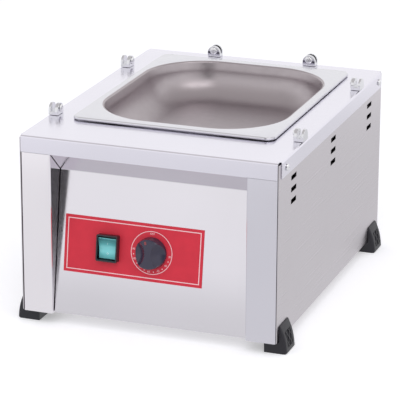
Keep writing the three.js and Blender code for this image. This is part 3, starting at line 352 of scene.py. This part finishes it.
def sink_along(bm, face, path, width=1, height=1):
    """Sinks a face along a path, whose steps are shares of a width and a height."""
    before = (0, 0)
    for across, along in path:
        sink(bm, [face], (across - before[0]) * width, (along - before[1]) * height)
        before = (across, along)


def quarter(steps):
    """Steps round a quarter circle, as (across, along) shares of its radius."""
    return [(1 - cos(k / steps * pi / 2), sin(k / steps * pi / 2)) for k in range(1, steps + 1)]


# Materials

def new_material(name):
    material = bpy.data.materials.new(name)
    material.use_nodes = True
    nodes = material.node_tree.nodes
    return material, nodes, material.node_tree.links, nodes["Principled BSDF"]


def noise(nodes, links, scale, detail, stretch=(1, 1, 1)):
    """A noise on the piece's own coordinates, stretched by its Mapping."""
    coordinates = nodes.new("ShaderNodeTexCoord")
    mapping = nodes.new("ShaderNodeMapping")
    mapping.inputs["Scale"].default_value = stretch
    texture = nodes.new("ShaderNodeTexNoise")
    texture.inputs["Scale"].default_value = scale
    texture.inputs["Detail"].default_value = detail
    links.new(coordinates.outputs["Object"], mapping.inputs["Vector"])
    links.new(mapping.outputs["Vector"], texture.inputs["Vector"])
    return texture.outputs["Fac"]


def wandering(nodes, links, source, value, share):
    """The value, lower and higher by a share with a noise."""
    ranged = nodes.new("ShaderNodeMapRange")
    ranged.inputs["From Min"].default_value = NOISE_LOW
    ranged.inputs["From Max"].default_value = NOISE_HIGH
    ranged.inputs["To Min"].default_value = value * (1 - share)
    ranged.inputs["To Max"].default_value = value * (1 + share)
    links.new(source, ranged.inputs["Value"])
    return ranged.outputs["Result"]


def tinted(nodes, links, source, tint, variation):
    """The tint, lighter and darker with a noise."""
    mix = nodes.new("ShaderNodeMix")
    mix.data_type = "RGBA"
    mix.inputs["A"].default_value = [c * (1 - variation) for c in tint] + [1]
    mix.inputs["B"].default_value = [min(1, c * (1 + variation)) for c in tint] + [1]
    links.new(source, mix.inputs["Factor"])
    return mix.outputs["Result"]


def bumped(nodes, links, source, shader, distance):
    """Lets a noise raise the surface by a distance."""
    bump = nodes.new("ShaderNodeBump")
    bump.inputs["Distance"].default_value = distance
    links.new(source, bump.inputs["Height"])
    links.new(bump.outputs["Normal"], shader.inputs["Normal"])


def sheet_metal(name, tint, roughness, grain=GRAIN_X, relief=2 * MICRON, cloud=0.03):
    """Metal with a fine grain, and broad soft clouds over it."""
    material, nodes, links, shader = new_material(name)
    shader.inputs["Metallic"].default_value = 1
    fine = noise(nodes, links, scale=1.0, detail=3, stretch=grain)
    broad = noise(nodes, links, scale=9.0, detail=2)
    links.new(tinted(nodes, links, broad, tint, cloud), shader.inputs["Base Color"])
    links.new(wandering(nodes, links, fine, roughness, METAL_WANDER), shader.inputs["Roughness"])
    bumped(nodes, links, fine, shader, relief)
    return material


def moulded(name, tint, roughness, pebble=20 * MICRON, scale=1400.0, mottle=0.10, coat=0.0,
            shine=0.5):
    """Moulded or printed plastic with a fine pebble, and a broader mottle in its colour."""
    material, nodes, links, shader = new_material(name)
    shader.inputs["Specular IOR Level"].default_value = shine
    shader.inputs["Coat Weight"].default_value = coat
    shader.inputs["Coat Roughness"].default_value = 0.12
    fine = noise(nodes, links, scale=scale, detail=2)
    broad = noise(nodes, links, scale=60.0, detail=2)
    links.new(tinted(nodes, links, broad, tint, mottle), shader.inputs["Base Color"])
    links.new(wandering(nodes, links, fine, roughness, PLASTIC_WANDER), shader.inputs["Roughness"])
    bumped(nodes, links, fine, shader, pebble)
    return material


def ray_kinds(nodes, links):
    """One for straight rays, and one for rays that are mirrored or pass through glass."""
    rays = nodes.new("ShaderNodeLightPath")
    either = nodes.new("ShaderNodeMath")
    either.operation = "MAXIMUM"
    links.new(rays.outputs["Is Glossy Ray"], either.inputs[0])
    links.new(rays.outputs["Is Transmission Ray"], either.inputs[1])
    return rays.outputs["Is Camera Ray"], either.outputs[0]


def choose(nodes, links, factor, first, second):
    """The first shader where the factor is zero, and the second where it is one."""
    mix = nodes.new("ShaderNodeMixShader")
    links.new(factor, mix.inputs["Fac"])
    links.new(first, mix.inputs[1])
    links.new(second, mix.inputs[2])
    return mix.outputs[0]


def dress(material, *names):
    """Gives carried-over CAD nodes a material."""
    for name in names:
        node = frame["nodes"][name]
        node.data.materials.clear()
        node.data.materials.append(material)


def nodes_like(start, *other):
    """The CAD nodes whose names begin with the start, and with none of the others."""
    return [name for name in NODES if name.startswith(start) and not name.startswith(other)]


# Printing on the panel and its controls

def panel_extent(name):
    """The low and high corners of a piece in the control panel's frame."""
    inverse = PANEL.inverted()
    points = [inverse @ v.co for v in frame["nodes"][name].data.vertices]
    return (Vector([min(p[i] for p in points) for i in range(3)]),
            Vector([max(p[i] for p in points) for i in range(3)]))


def print_on(bm, name, ink, place, body):
    """Stands a flat drawing up at a place and gives it the ink's thickness."""
    bmesh.ops.recalc_face_normals(bm, faces=bm.faces)
    piece = finish_mesh(bm, name, ink, body, smooth=False,
                        place=place @ Matrix.Rotation(pi / 2, 4, "X"))
    layer = piece.modifiers.new("Ink", "SOLIDIFY")
    layer.thickness = INK_THICKNESS
    layer.offset = 0


def on_dial(angle, radius, depth):
    """A spot on the dial, by its angle clockwise from the top."""
    return Vector((radius * sin(angle), depth, radius * cos(angle)))


def write(text, size, name, ink, place, body):
    """Prints a text of a given size with its middle at a place."""
    curve = bpy.data.curves.new(name, "FONT")
    curve.body = text
    curve.size = size
    curve.align_x = "CENTER"
    curve.align_y = "CENTER"
    curve.resolution_u = LETTER_STEPS
    written = bpy.data.objects.new(name, curve)
    bpy.context.scene.collection.objects.link(written)
    bm = bmesh.new()
    bm.from_mesh(written.to_mesh())
    written.to_mesh_clear()
    bpy.data.objects.remove(written)
    bpy.data.curves.remove(curve)
    print_on(bm, name, ink, place, body)


# Operators, one for each group of pieces

class BAINMARIE_OT_cabinet(bpy.types.Operator):
    """Finish the folded sheet of the cabinet and the tank"""
    bl_idname = "bain_marie.cabinet"
    bl_label = "Cabinet Sheet"

    def execute(self, context):
        cabinet = context.scene.bain_marie_cabinet
        polished = sheet_metal("Polished steel", cabinet.polished, roughness=0.20)
        # The control panel's darker copy of the polished steel is painted shade for its soffit
        # under the apron.
        panel = sheet_metal("Panel steel", cabinet.panel, roughness=0.16)
        sheet = sheet_metal("Sheet steel", cabinet.sheet, roughness=0.30, grain=GRAIN_Y)
        dress(polished, "top_panel")
        dress(panel, "control_panel")
        dress(sheet, "side_panel_left", "side_panel_right", "rear_panel", "bottom_plate", "tank")
        # Each post gets its own copy of the polished steel, lighter on the left as painted light
        # and duller on the right as painted shade.
        for side in ("left", "right"):
            tint = getattr(cabinet, f"{side}_post")
            post = sheet_metal(f"Polished {side} post", tint, roughness=0.16, grain=GRAIN_Z)
            dress(post, f"post_{side}")
        return {"FINISHED"}


class BAINMARIE_OT_pan(bpy.types.Operator):
    """Draw the food pan: its flange, and the wall and floor that hang from its mouth"""
    bl_idname = "bain_marie.pan"
    bl_label = "Food Pan"

    def execute(self, context):
        pan = context.scene.bain_marie_pan
        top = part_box("pan")[1][2]
        bm = bmesh.new()
        edge = self.raise_flange(bm, pan, top)
        mouth = rounded_rectangle(bm, pan.mouth_width + 2 * pan.roll,
                                  pan.mouth_length + 2 * pan.roll,
                                  pan.wall_corner + pan.roll, top)
        bmesh.ops.bridge_loops(bm, edges=edge + mouth.edges[:])
        flange = set(bm.faces) - {mouth}
        sink_along(bm, mouth, self.wall_path(pan))
        # Faces inside the mouth take the second, darker steel: painted shade in the pan's hollow.
        for face in bm.faces:
            if face not in flange:
                face.material_index = 1
        bmesh.ops.poke(bm, faces=[mouth])
        bmesh.ops.remove_doubles(bm, verts=bm.verts, dist=SAME_POINT)

        rim = sheet_metal("Flange steel", pan.flange, roughness=0.24, grain=DRAWN_GRAIN,
                          relief=1.5 * MICRON)
        # The pan's inside steel is a darker, warmer copy of the flange's steel: painted shade and
        # painted reflection.
        steel = sheet_metal("Pan steel", pan.steel, roughness=0.36, grain=DRAWN_GRAIN,
                            relief=1.5 * MICRON, cloud=0.04)
        middle = centre_of("pan")
        place = Matrix.Translation((middle.x, middle.y, 0))
        piece = finish_mesh(bm, "pan_drawn", rim, "food_pan", ["pan"], place)
        piece.data.materials.append(steel)
        wall = piece.modifiers.new("Wall", "SOLIDIFY")
        wall.thickness = pan.sheet
        wall.offset = -1
        wall.use_even_offset = True
        return {"FINISHED"}

    def raise_flange(self, bm, pan, top):
        """Raises the turned edge and its bend, and returns the loop that the flange starts from."""
        outer = size_of("pan")
        face = rounded_rectangle(bm, outer.x, outer.y, pan.corner, top - pan.rim)
        sink(bm, [face], 0, pan.rim - pan.rim_bend)
        sink_along(bm, face, quarter(RIM_STEPS), pan.rim_bend, pan.rim_bend)
        loop = face.edges[:]
        bmesh.ops.delete(bm, geom=[face], context="FACES_ONLY")
        return loop

    def wall_path(self, pan):
        """The roll, the tapered wall and the floor's fillet, as (inset, height) from the mouth."""
        roll = [(along * pan.roll, -across * pan.roll) for across, along in quarter(ROLL_STEPS)]
        inset, height = roll[-1]
        inset += pan.taper
        height -= pan.depth - pan.floor_round - pan.roll
        fillet = [(inset + across * pan.floor_round, height - along * pan.floor_round)
                  for across, along in quarter(FILLET_STEPS)]
        return [*roll, (inset, height), *fillet]


class BAINMARIE_OT_wet_side(bpy.types.Operator):
    """Finish the heating element, the thermostat behind the panel and the brass fittings"""
    bl_idname = "bain_marie.wet_side"
    bl_label = "Element and Fittings"

    def execute(self, context):
        cabinet = context.scene.bain_marie_cabinet
        sheath = sheet_metal("Element sheath", cabinet.sheath, roughness=0.38, grain=FINE_GRAIN)
        brass = sheet_metal("Brass", cabinet.brass, roughness=0.30, grain=FINE_GRAIN)
        copper = sheet_metal("Copper", cabinet.copper, roughness=0.30, grain=FINE_GRAIN)
        case = moulded("Thermostat case", cabinet.case, roughness=0.5)
        dress(sheath, "heating_element", "element_support", "thermostat_shaft")
        dress(brass, "element_nut_left", "element_nut_right", "capillary_gland", "earth_stud")
        dress(copper, "capillary")
        dress(case, "thermostat_body", "terminal_block")
        return {"FINISHED"}


class BAINMARIE_OT_label(bpy.types.Operator):
    """Print the red label's border and the dial's circle, dots and numbers"""
    bl_idname = "bain_marie.label"
    bl_label = "Control Label"

    def execute(self, context):
        controls = context.scene.bain_marie_controls
        film = moulded("Label film", controls.film, roughness=0.42, pebble=4 * MICRON,
                       scale=2600.0, shine=0.25)
        ink = moulded("Label ink", controls.ink, roughness=0.5, pebble=2 * MICRON, scale=2600.0)
        dress(film, "control_label")
        low, high = panel_extent("control_label")

        border = bmesh.new()
        inset = 2 * controls.border_inset
        flat_rectangle(border, high.x - low.x - inset, high.z - low.z - inset)
        self.hollow(border, controls.border_line)
        middle = (low + high) / 2
        self.on_label(border, "label_border", ink, (middle.x, low.y, middle.z))

        ring = bmesh.new()
        bmesh.ops.create_circle(ring, cap_ends=True, segments=RING_SEGMENTS, radius=controls.ring)
        self.hollow(ring, controls.ring_line)
        self.on_label(ring, "dial_ring", ink, (0, low.y, 0))

        step = (controls.scale_end - controls.scale_start) / (controls.numbers - 1)
        for k in range(controls.numbers):
            angle = controls.scale_start + k * step
            text = str(controls.first_number + k * controls.number_step)
            self.number(controls, text, f"dial_number_{text}", ink, angle, low.y)
            if k:
                dot = bmesh.new()
                bmesh.ops.create_circle(dot, cap_ends=True, segments=DOT_SEGMENTS,
                                        radius=controls.dot)
                self.on_label(dot, f"dial_dot_{k}", ink,
                              on_dial(angle - step / 2, controls.numeral_radius, low.y))
        self.number(controls, "OFF", "dial_off", ink, 0, low.y)
        return {"FINISHED"}

    def hollow(self, bm, line):
        """Leaves only a line along the edge of a flat face."""
        inner = bm.faces[:]
        sink(bm, inner, line)
        bmesh.ops.delete(bm, geom=inner, context="FACES")

    def on_label(self, bm, name, ink, spot):
        """Prints a flat drawing on the label."""
        place = PANEL @ Matrix.Translation(spot)
        print_on(bm, name, ink, place, "cabinet")

    def number(self, controls, text, name, ink, angle, depth):
        """Prints a number or a word upright on the dial."""
        place = PANEL @ Matrix.Translation(on_dial(angle, controls.numeral_radius, depth))
        write(text, controls.numerals, name, ink, place, "cabinet")


class BAINMARIE_OT_switch(bpy.types.Operator):
    """Finish the rocker switch and its collar with rounded edges, and print its marks"""
    bl_idname = "bain_marie.switch"
    bl_label = "Rocker Switch"

    def execute(self, context):
        controls = context.scene.bain_marie_controls
        plastic = context.scene.bain_marie_cabinet.plastic
        gloss = moulded("Switch plastic", plastic, roughness=0.30, pebble=4 * MICRON,
                        scale=2400.0, coat=0.2)
        lens = moulded("Rocker lens", controls.rocker, roughness=0.16, pebble=2 * MICRON,
                       scale=2400.0, coat=0.6)
        mark = moulded("Rocker marks", controls.rocker_ink, roughness=0.4, pebble=2 * MICRON,
                       scale=2400.0)
        collar = finish_mesh(merged_copy("switch_housing"), "switch_collar", gloss, "cabinet",
                             ["switch_housing"])
        bevel_edges(collar, controls.collar_edge, segments=3)
        rocker = finish_mesh(merged_copy("switch_rocker"), "switch_paddle", lens, "rocker",
                             ["switch_rocker"])
        bevel_edges(rocker, controls.rocker_edge, segments=3)
        for text, place in zip("OI", self.paddle_places()):
            write(text, controls.rocker_mark, f"rocker_mark_{text}", mark, place, "rocker")
        return {"FINISHED"}

    def paddle_places(self):
        """The middles of the paddle's two front faces, the lower one first."""
        bm = merged_copy("switch_rocker")
        forward = PANEL.to_3x3() @ Vector((0, -1, 0))
        front = [face for face in bm.faces if face.normal.dot(forward) > FACING]
        pair = sorted(front, key=lambda face: face.calc_area())[-2:]
        pair.sort(key=lambda face: face.calc_center_median().z)
        places = [Matrix.Translation(face.calc_center_median())
                  @ face.normal.to_track_quat("-Y", "Z").to_matrix().to_4x4() for face in pair]
        bm.free()
        return places


class BAINMARIE_OT_knob(bpy.types.Operator):
    """Finish the thermostat's knob and print its pointer mark"""
    bl_idname = "bain_marie.knob"
    bl_label = "Thermostat Knob"

    def execute(self, context):
        controls = context.scene.bain_marie_controls
        gloss = moulded("Knob plastic", controls.knob, roughness=0.22, pebble=4 * MICRON,
                        scale=1800.0)
        red = moulded("Pointer red", controls.pointer, roughness=0.35, pebble=2 * MICRON,
                      scale=2400.0)
        finish_mesh(merged_copy("thermostat_knob"), "knob_moulded", gloss, "knob",
                    ["thermostat_knob"])
        mark = bmesh.new()
        flat_rectangle(mark, controls.pointer_width, controls.pointer_height)
        front = panel_extent("thermostat_knob")[0].y
        spot = on_dial(controls.pointer_turn, controls.pointer_radius, front)
        place = PANEL @ Matrix.Translation(spot) @ Matrix.Rotation(controls.pointer_turn, 4, "Y")
        print_on(mark, "knob_pointer", red, place, "knob")
        return {"FINISHED"}


class BAINMARIE_OT_clips(bpy.types.Operator):
    """Finish the glass clips, and turn their screws and the panels' with cross recesses"""
    bl_idname = "bain_marie.clips"
    bl_label = "Clips and Screws"

    def execute(self, context):
        cabinet = context.scene.bain_marie_cabinet
        chrome = sheet_metal("Chrome", cabinet.chrome, roughness=0.09, grain=FINE_GRAIN,
                             relief=0.5 * MICRON, cloud=0.01)
        dull_chrome = sheet_metal("Screw chrome", cabinet.screw, roughness=0.30, grain=FINE_GRAIN,
                                  relief=0.5 * MICRON, cloud=0.01)
        for name in nodes_like("clip_", "clip_screw"):
            piece = finish_mesh(merged_copy(name), f"{name}_cast", chrome, "cabinet",
                                [name])
            bevel_edges(piece, cabinet.clip_edge)
        crowns = {"clip_screw": cabinet.clip_crown, "side_screw": cabinet.screw_crown,
                  "rear_screw": cabinet.screw_crown}
        for start, crown in crowns.items():
            for name in nodes_like(start):
                self.turn_screw(name, cabinet.screw_shank / 2, crown, dull_chrome)
        return {"FINISHED"}

    def turn_screw(self, node, shank, crown, chrome):
        """Puts a round-headed screw in the CAD screw's place."""
        points = [v.co for v in frame["nodes"][node].data.vertices]
        size = size_of(node)
        offset = sum(points, Vector()) / len(points) - centre_of(node)
        along = max(range(3), key=lambda axis: abs(offset[axis]))
        direction = Vector()
        direction[along] = 1 if offset[along] > 0 else -1
        head = max(size[axis] for axis in range(3) if axis != along) / 2
        reach = size[along] - crown

        bm = bmesh.new()
        self.cut_recess(bm, self.turn_head(bm, shank, reach, head, crown), head, crown)
        under_head = centre_of(node) + direction * (reach / 2 - crown / 2)
        place = (Matrix.Translation(under_head)
                 @ direction.to_track_quat("Z", "Y").to_matrix().to_4x4()
                 @ Matrix.Rotation(CROSS_TURN, 4, "Z") @ Matrix.Translation((0, 0, -reach / 2)))
        finish_mesh(bm, f"{node}_turned", chrome, "cabinet", [node], place)

    def turn_head(self, bm, shank, reach, head, crown):
        """Turns a shank with a domed head at its +Z end, and returns the head's flat top."""
        bmesh.ops.create_cone(bm, cap_ends=True, segments=SCREW_SEGMENTS, radius1=shank,
                              radius2=shank, depth=reach)
        face = max(bm.faces, key=lambda f: f.calc_center_median().z)
        sink(bm, [face], shank - head)
        sink(bm, [face], 0, crown * EDGE_HEIGHT)
        sink_along(bm, face, quarter(DOME_STEPS), head * DOME_INSET, crown * DOME_HEIGHT)
        return face

    def cut_recess(self, bm, face, head, crown):
        """Cuts the head's flat top along the arms of a cross, and sinks the cross."""
        top = face.calc_center_median().z
        arm = head * RECESS_HALF_WIDTH
        end = head * RECESS_REACH
        cut = [face, *face.edges, *face.verts]
        for normal in (Vector((1, 0, 0)), Vector((0, 1, 0))):
            for place in (-end, -arm, arm, end):
                cut = bmesh.ops.bisect_plane(bm, geom=cut, dist=SAME_POINT,
                                             plane_co=normal * place, plane_no=normal)["geom"]
        flat = [piece for piece in bm.faces
                if abs(piece.calc_center_median().z - top) < SAME_POINT]
        for edge in bm.edges:
            edge.smooth = sum(piece in flat for piece in edge.link_faces) != 1
        recess = []
        for piece in flat:
            small, large = sorted(abs(spot) for spot in piece.calc_center_median().xy)
            if small < arm and large < end:
                recess.append(piece)
        sink(bm, recess, arm * RECESS_LEAN, -crown * RECESS_DEPTH)
        for edge in bm.edges:
            if edge.calc_face_angle(0) > SHARP_ANGLE:
                edge.smooth = False


class BAINMARIE_OT_feet(bpy.types.Operator):
    """Finish the moulded feet, their screws and the cord gland"""
    bl_idname = "bain_marie.feet"
    bl_label = "Feet and Gland"

    def execute(self, context):
        cabinet = context.scene.bain_marie_cabinet
        plastic = moulded("Foot plastic", cabinet.plastic, roughness=0.42)
        steel = sheet_metal("Screw steel", cabinet.foot_screw, roughness=0.3, grain=FINE_GRAIN)
        for name in nodes_like("foot_", "foot_screw"):
            bm = merged_copy(name)
            self.round_ends(bm, cabinet.foot_corner)
            piece = finish_mesh(bm, f"{name}_moulded", plastic, "cabinet", [name])
            bevel_edges(piece, cabinet.foot_edge, angle=FOOT_SHARP_ANGLE)
        dress(plastic, "cord_gland", "cord_gland_nut")
        dress(steel, *nodes_like("foot_screw"))
        return {"FINISHED"}

    def round_ends(self, bm, radius):
        """Rounds the two curved ridges between a foot's ends and its outer face."""
        outward = 1 if sum(v.co.x for v in bm.verts) > 0 else -1
        low = min(v.co.y for v in bm.verts)
        high = max(v.co.y for v in bm.verts)
        ridges = []
        for edge in bm.edges:
            ends = [face for face in edge.link_faces if abs(face.normal.y) > FACING]
            outer = [face for face in edge.link_faces
                     if face.normal.x * outward > ROUGHLY_FACING]
            at = edge.verts[0].co.y
            if ends and outer and ends[0] != outer[0] and min(at - low, high - at) < AT_END:
                ridges.append(edge)
        bmesh.ops.bevel(bm, geom=ridges, offset=radius, offset_type="OFFSET",
                        segments=FOOT_STEPS, profile=0.5, affect="EDGES", clamp_overlap=False,
                        material=-1)
        shade_curves_smooth(bm)


class BAINMARIE_OT_studio(bpy.types.Operator):
    """Set the floor, the card, the lamps and the camera at the photograph's angle"""
    bl_idname = "bain_marie.studio"
    bl_label = "Studio"

    def execute(self, context):
        studio = context.scene.bain_marie_studio
        self.add_camera(context, studio)
        self.add_floor(studio)
        self.add_card(studio)
        self.add_lamps(context)
        self.set_world(context, studio)
        context.scene.view_settings.view_transform = "Standard"
        return {"FINISHED"}

    def add_camera(self, context, studio):
        data = bpy.data.cameras.new("Camera")
        data.sensor_width = SENSOR_WIDTH
        data.lens = studio.lens
        data.clip_end = CAMERA_REACH
        camera = bpy.data.objects.new("Camera", data)
        context.scene.collection.objects.link(camera)
        turn = (Matrix.Rotation(studio.azimuth, 4, "Z")
                @ Matrix.Rotation(pi / 2 - studio.elevation, 4, "X")
                @ Matrix.Rotation(studio.roll, 4, "Z"))
        place = Matrix.Translation(Vector(studio.target)) @ turn
        camera.matrix_world = place @ Matrix.Translation((0, 0, studio.distance))
        context.scene.camera = camera

    def add_floor(self, studio):
        material, nodes, links, shader = new_material("Pale floor")
        shader.inputs["Base Color"].default_value = (*studio.floor, 1)
        shader.inputs["Roughness"].default_value = MATT
        shader.inputs["Specular IOR Level"].default_value = FLOOR_SHINE
        camera, mirrored = ray_kinds(nodes, links)

        # In the metal the floor is an even glow, dimmer by the object as painted shade, and
        # brightens away from it.
        coordinates = nodes.new("ShaderNodeTexCoord")
        reach = nodes.new("ShaderNodeVectorMath")
        reach.operation = "LENGTH"
        links.new(coordinates.outputs["Object"], reach.inputs[0])
        bright = nodes.new("ShaderNodeMapRange")
        bright.inputs["From Min"].default_value = studio.near
        bright.inputs["From Max"].default_value = studio.far
        bright.inputs["To Min"].default_value = studio.near_floor_painted_shade
        bright.inputs["To Max"].default_value = studio.far_floor
        links.new(reach.outputs["Value"], bright.inputs["Value"])
        even = nodes.new("ShaderNodeEmission")
        even.inputs["Color"].default_value = (*studio.mirrored, 1)
        links.new(bright.outputs["Result"], even.inputs["Strength"])

        # The camera sees the floor with its shadow, brought up to white.
        lift = nodes.new("ShaderNodeEmission")
        lift.inputs["Strength"].default_value = studio.floor_lift
        lifted = nodes.new("ShaderNodeAddShader")
        links.new(shader.outputs[0], lifted.inputs[0])
        links.new(lift.outputs[0], lifted.inputs[1])
        surface = choose(nodes, links, mirrored, shader.outputs[0], even.outputs[0])
        surface = choose(nodes, links, camera, surface, lifted.outputs[0])
        links.new(surface, nodes["Material Output"].inputs["Surface"])

        bm = bmesh.new()
        flat_rectangle(bm, FLOOR_SIZE, FLOOR_SIZE)
        floor = link_mesh(bm, "Floor", material)

    def add_card(self, studio):
        """Stands a dark card by the camera, with a tongue, that only mirrored rays meet."""
        material, *_, shader = new_material("Dark card")
        shader.inputs["Base Color"].default_value = (*CARD_TONE, 1)
        shader.inputs["Roughness"].default_value = MATT
        upright = Matrix.Rotation(pi / 2, 4, "X")
        just_above_floor = Matrix.Translation((0, 0, 0.001))
        bm = bmesh.new()
        for width, reach, place in (
                (studio.card_width, studio.card_height, upright),
                (studio.tongue_width, studio.tongue_length, just_above_floor)):
            verts = flat_rectangle(bm, width, reach)
            bmesh.ops.transform(bm, matrix=place @ Matrix.Translation((0, reach / 2, 0)),
                                verts=verts)
        bm.transform(Matrix.Translation(studio.card) @ Matrix.Rotation(studio.card_turn, 4, "Z"))
        card = link_mesh(bm, "Dark card", material)
        card.visible_camera = False
        card.visible_diffuse = False
        card.visible_shadow = False
        card.visible_transmission = False

    def add_lamps(self, context):
        for name, place, width, depth, power, mirrored in SOFTBOXES:
            data = bpy.data.lights.new(name, "AREA")
            data.shape = "RECTANGLE"
            data.size = width
            data.size_y = depth
            data.energy = power
            lamp = bpy.data.objects.new(name, data)
            lamp.visible_glossy = mirrored
            context.scene.collection.objects.link(lamp)
            aim = LAMP_AIM - Vector(place)
            lamp.matrix_world = (Matrix.Translation(place)
                                 @ aim.to_track_quat("-Z", "Y").to_matrix().to_4x4())

    def set_world(self, context, studio):
        world = bpy.data.worlds.new("Room")
        context.scene.world = world
        world.use_nodes = True
        nodes = world.node_tree.nodes
        links = world.node_tree.links
        room = nodes["Background"]
        room.inputs["Color"].default_value = (*studio.room, 1)
        white = nodes.new("ShaderNodeBackground")
        white.inputs["Color"].default_value = (1, 1, 1, 1)
        metal = nodes.new("ShaderNodeBackground")
        camera, mirrored = ray_kinds(nodes, links)
        lit = choose(nodes, links, mirrored, room.outputs[0], metal.outputs[0])
        seen = choose(nodes, links, camera, lit, white.outputs[0])
        links.new(seen, nodes["World Output"].inputs["Surface"])

        # In the metal: white round the horizon under a darker ceiling.
        coordinates = nodes.new("ShaderNodeTexCoord")
        split = nodes.new("ShaderNodeSeparateXYZ")
        ramp = nodes.new("ShaderNodeValToRGB")
        links.new(coordinates.outputs["Generated"], split.inputs[0])
        links.new(split.outputs["Z"], ramp.inputs["Fac"])
        ramp.color_ramp.elements[0].position = sin(studio.ceiling_low)
        ramp.color_ramp.elements[0].color = (1, 1, 1, 1)
        ramp.color_ramp.elements[1].position = sin(studio.ceiling_high)
        ramp.color_ramp.elements[1].color = (*studio.ceiling, 1)
        links.new(ramp.outputs["Color"], metal.inputs["Color"])


class BAINMARIE_PT_panel(bpy.types.Panel):
    """Lists the bain marie's settings and operators"""
    bl_idname = "BAINMARIE_PT_panel"
    bl_label = "Bain Marie"
    bl_space_type = "VIEW_3D"
    bl_region_type = "UI"
    bl_category = "Bain Marie"

    def draw(self, context):
        for group, operators in LAYOUT:
            box = self.layout.box()
            settings = getattr(context.scene, group)
            for name in settings.__annotations__:
                box.prop(settings, name)
            for operator in operators:
                box.operator(operator.bl_idname)


GROUPS = {
    "bain_marie_cabinet": BainMarieCabinet,
    "bain_marie_pan": BainMariePan,
    "bain_marie_controls": BainMarieControls,
    "bain_marie_studio": BainMarieStudio,
}
LAYOUT = (
    ("bain_marie_cabinet", (BAINMARIE_OT_cabinet, BAINMARIE_OT_wet_side, BAINMARIE_OT_clips,
                            BAINMARIE_OT_feet)),
    ("bain_marie_pan", (BAINMARIE_OT_pan,)),
    ("bain_marie_controls", (BAINMARIE_OT_label, BAINMARIE_OT_switch, BAINMARIE_OT_knob)),
    ("bain_marie_studio", (BAINMARIE_OT_studio,)),
)
CLASSES = (
    *GROUPS.values(),
    *(operator for _, operators in LAYOUT for operator in operators),
    BAINMARIE_PT_panel,
)


def register():
    for cls in CLASSES:
        bpy.utils.register_class(cls)
    for name, group in GROUPS.items():
        setattr(bpy.types.Scene, name, PointerProperty(type=group))


def unregister():
    for name in GROUPS:
        delattr(bpy.types.Scene, name)
    for cls in reversed(CLASSES):
        bpy.utils.unregister_class(cls)


def main():
    register()
    bpy.ops.bain_marie.studio()
    bpy.ops.bain_marie.cabinet()
    bpy.ops.bain_marie.pan()
    bpy.ops.bain_marie.wet_side()
    bpy.ops.bain_marie.label()
    bpy.ops.bain_marie.switch()
    bpy.ops.bain_marie.knob()
    bpy.ops.bain_marie.clips()
    bpy.ops.bain_marie.feet()
    bpy.context.view_layer.update()


if __name__ == "__main__":
    main()
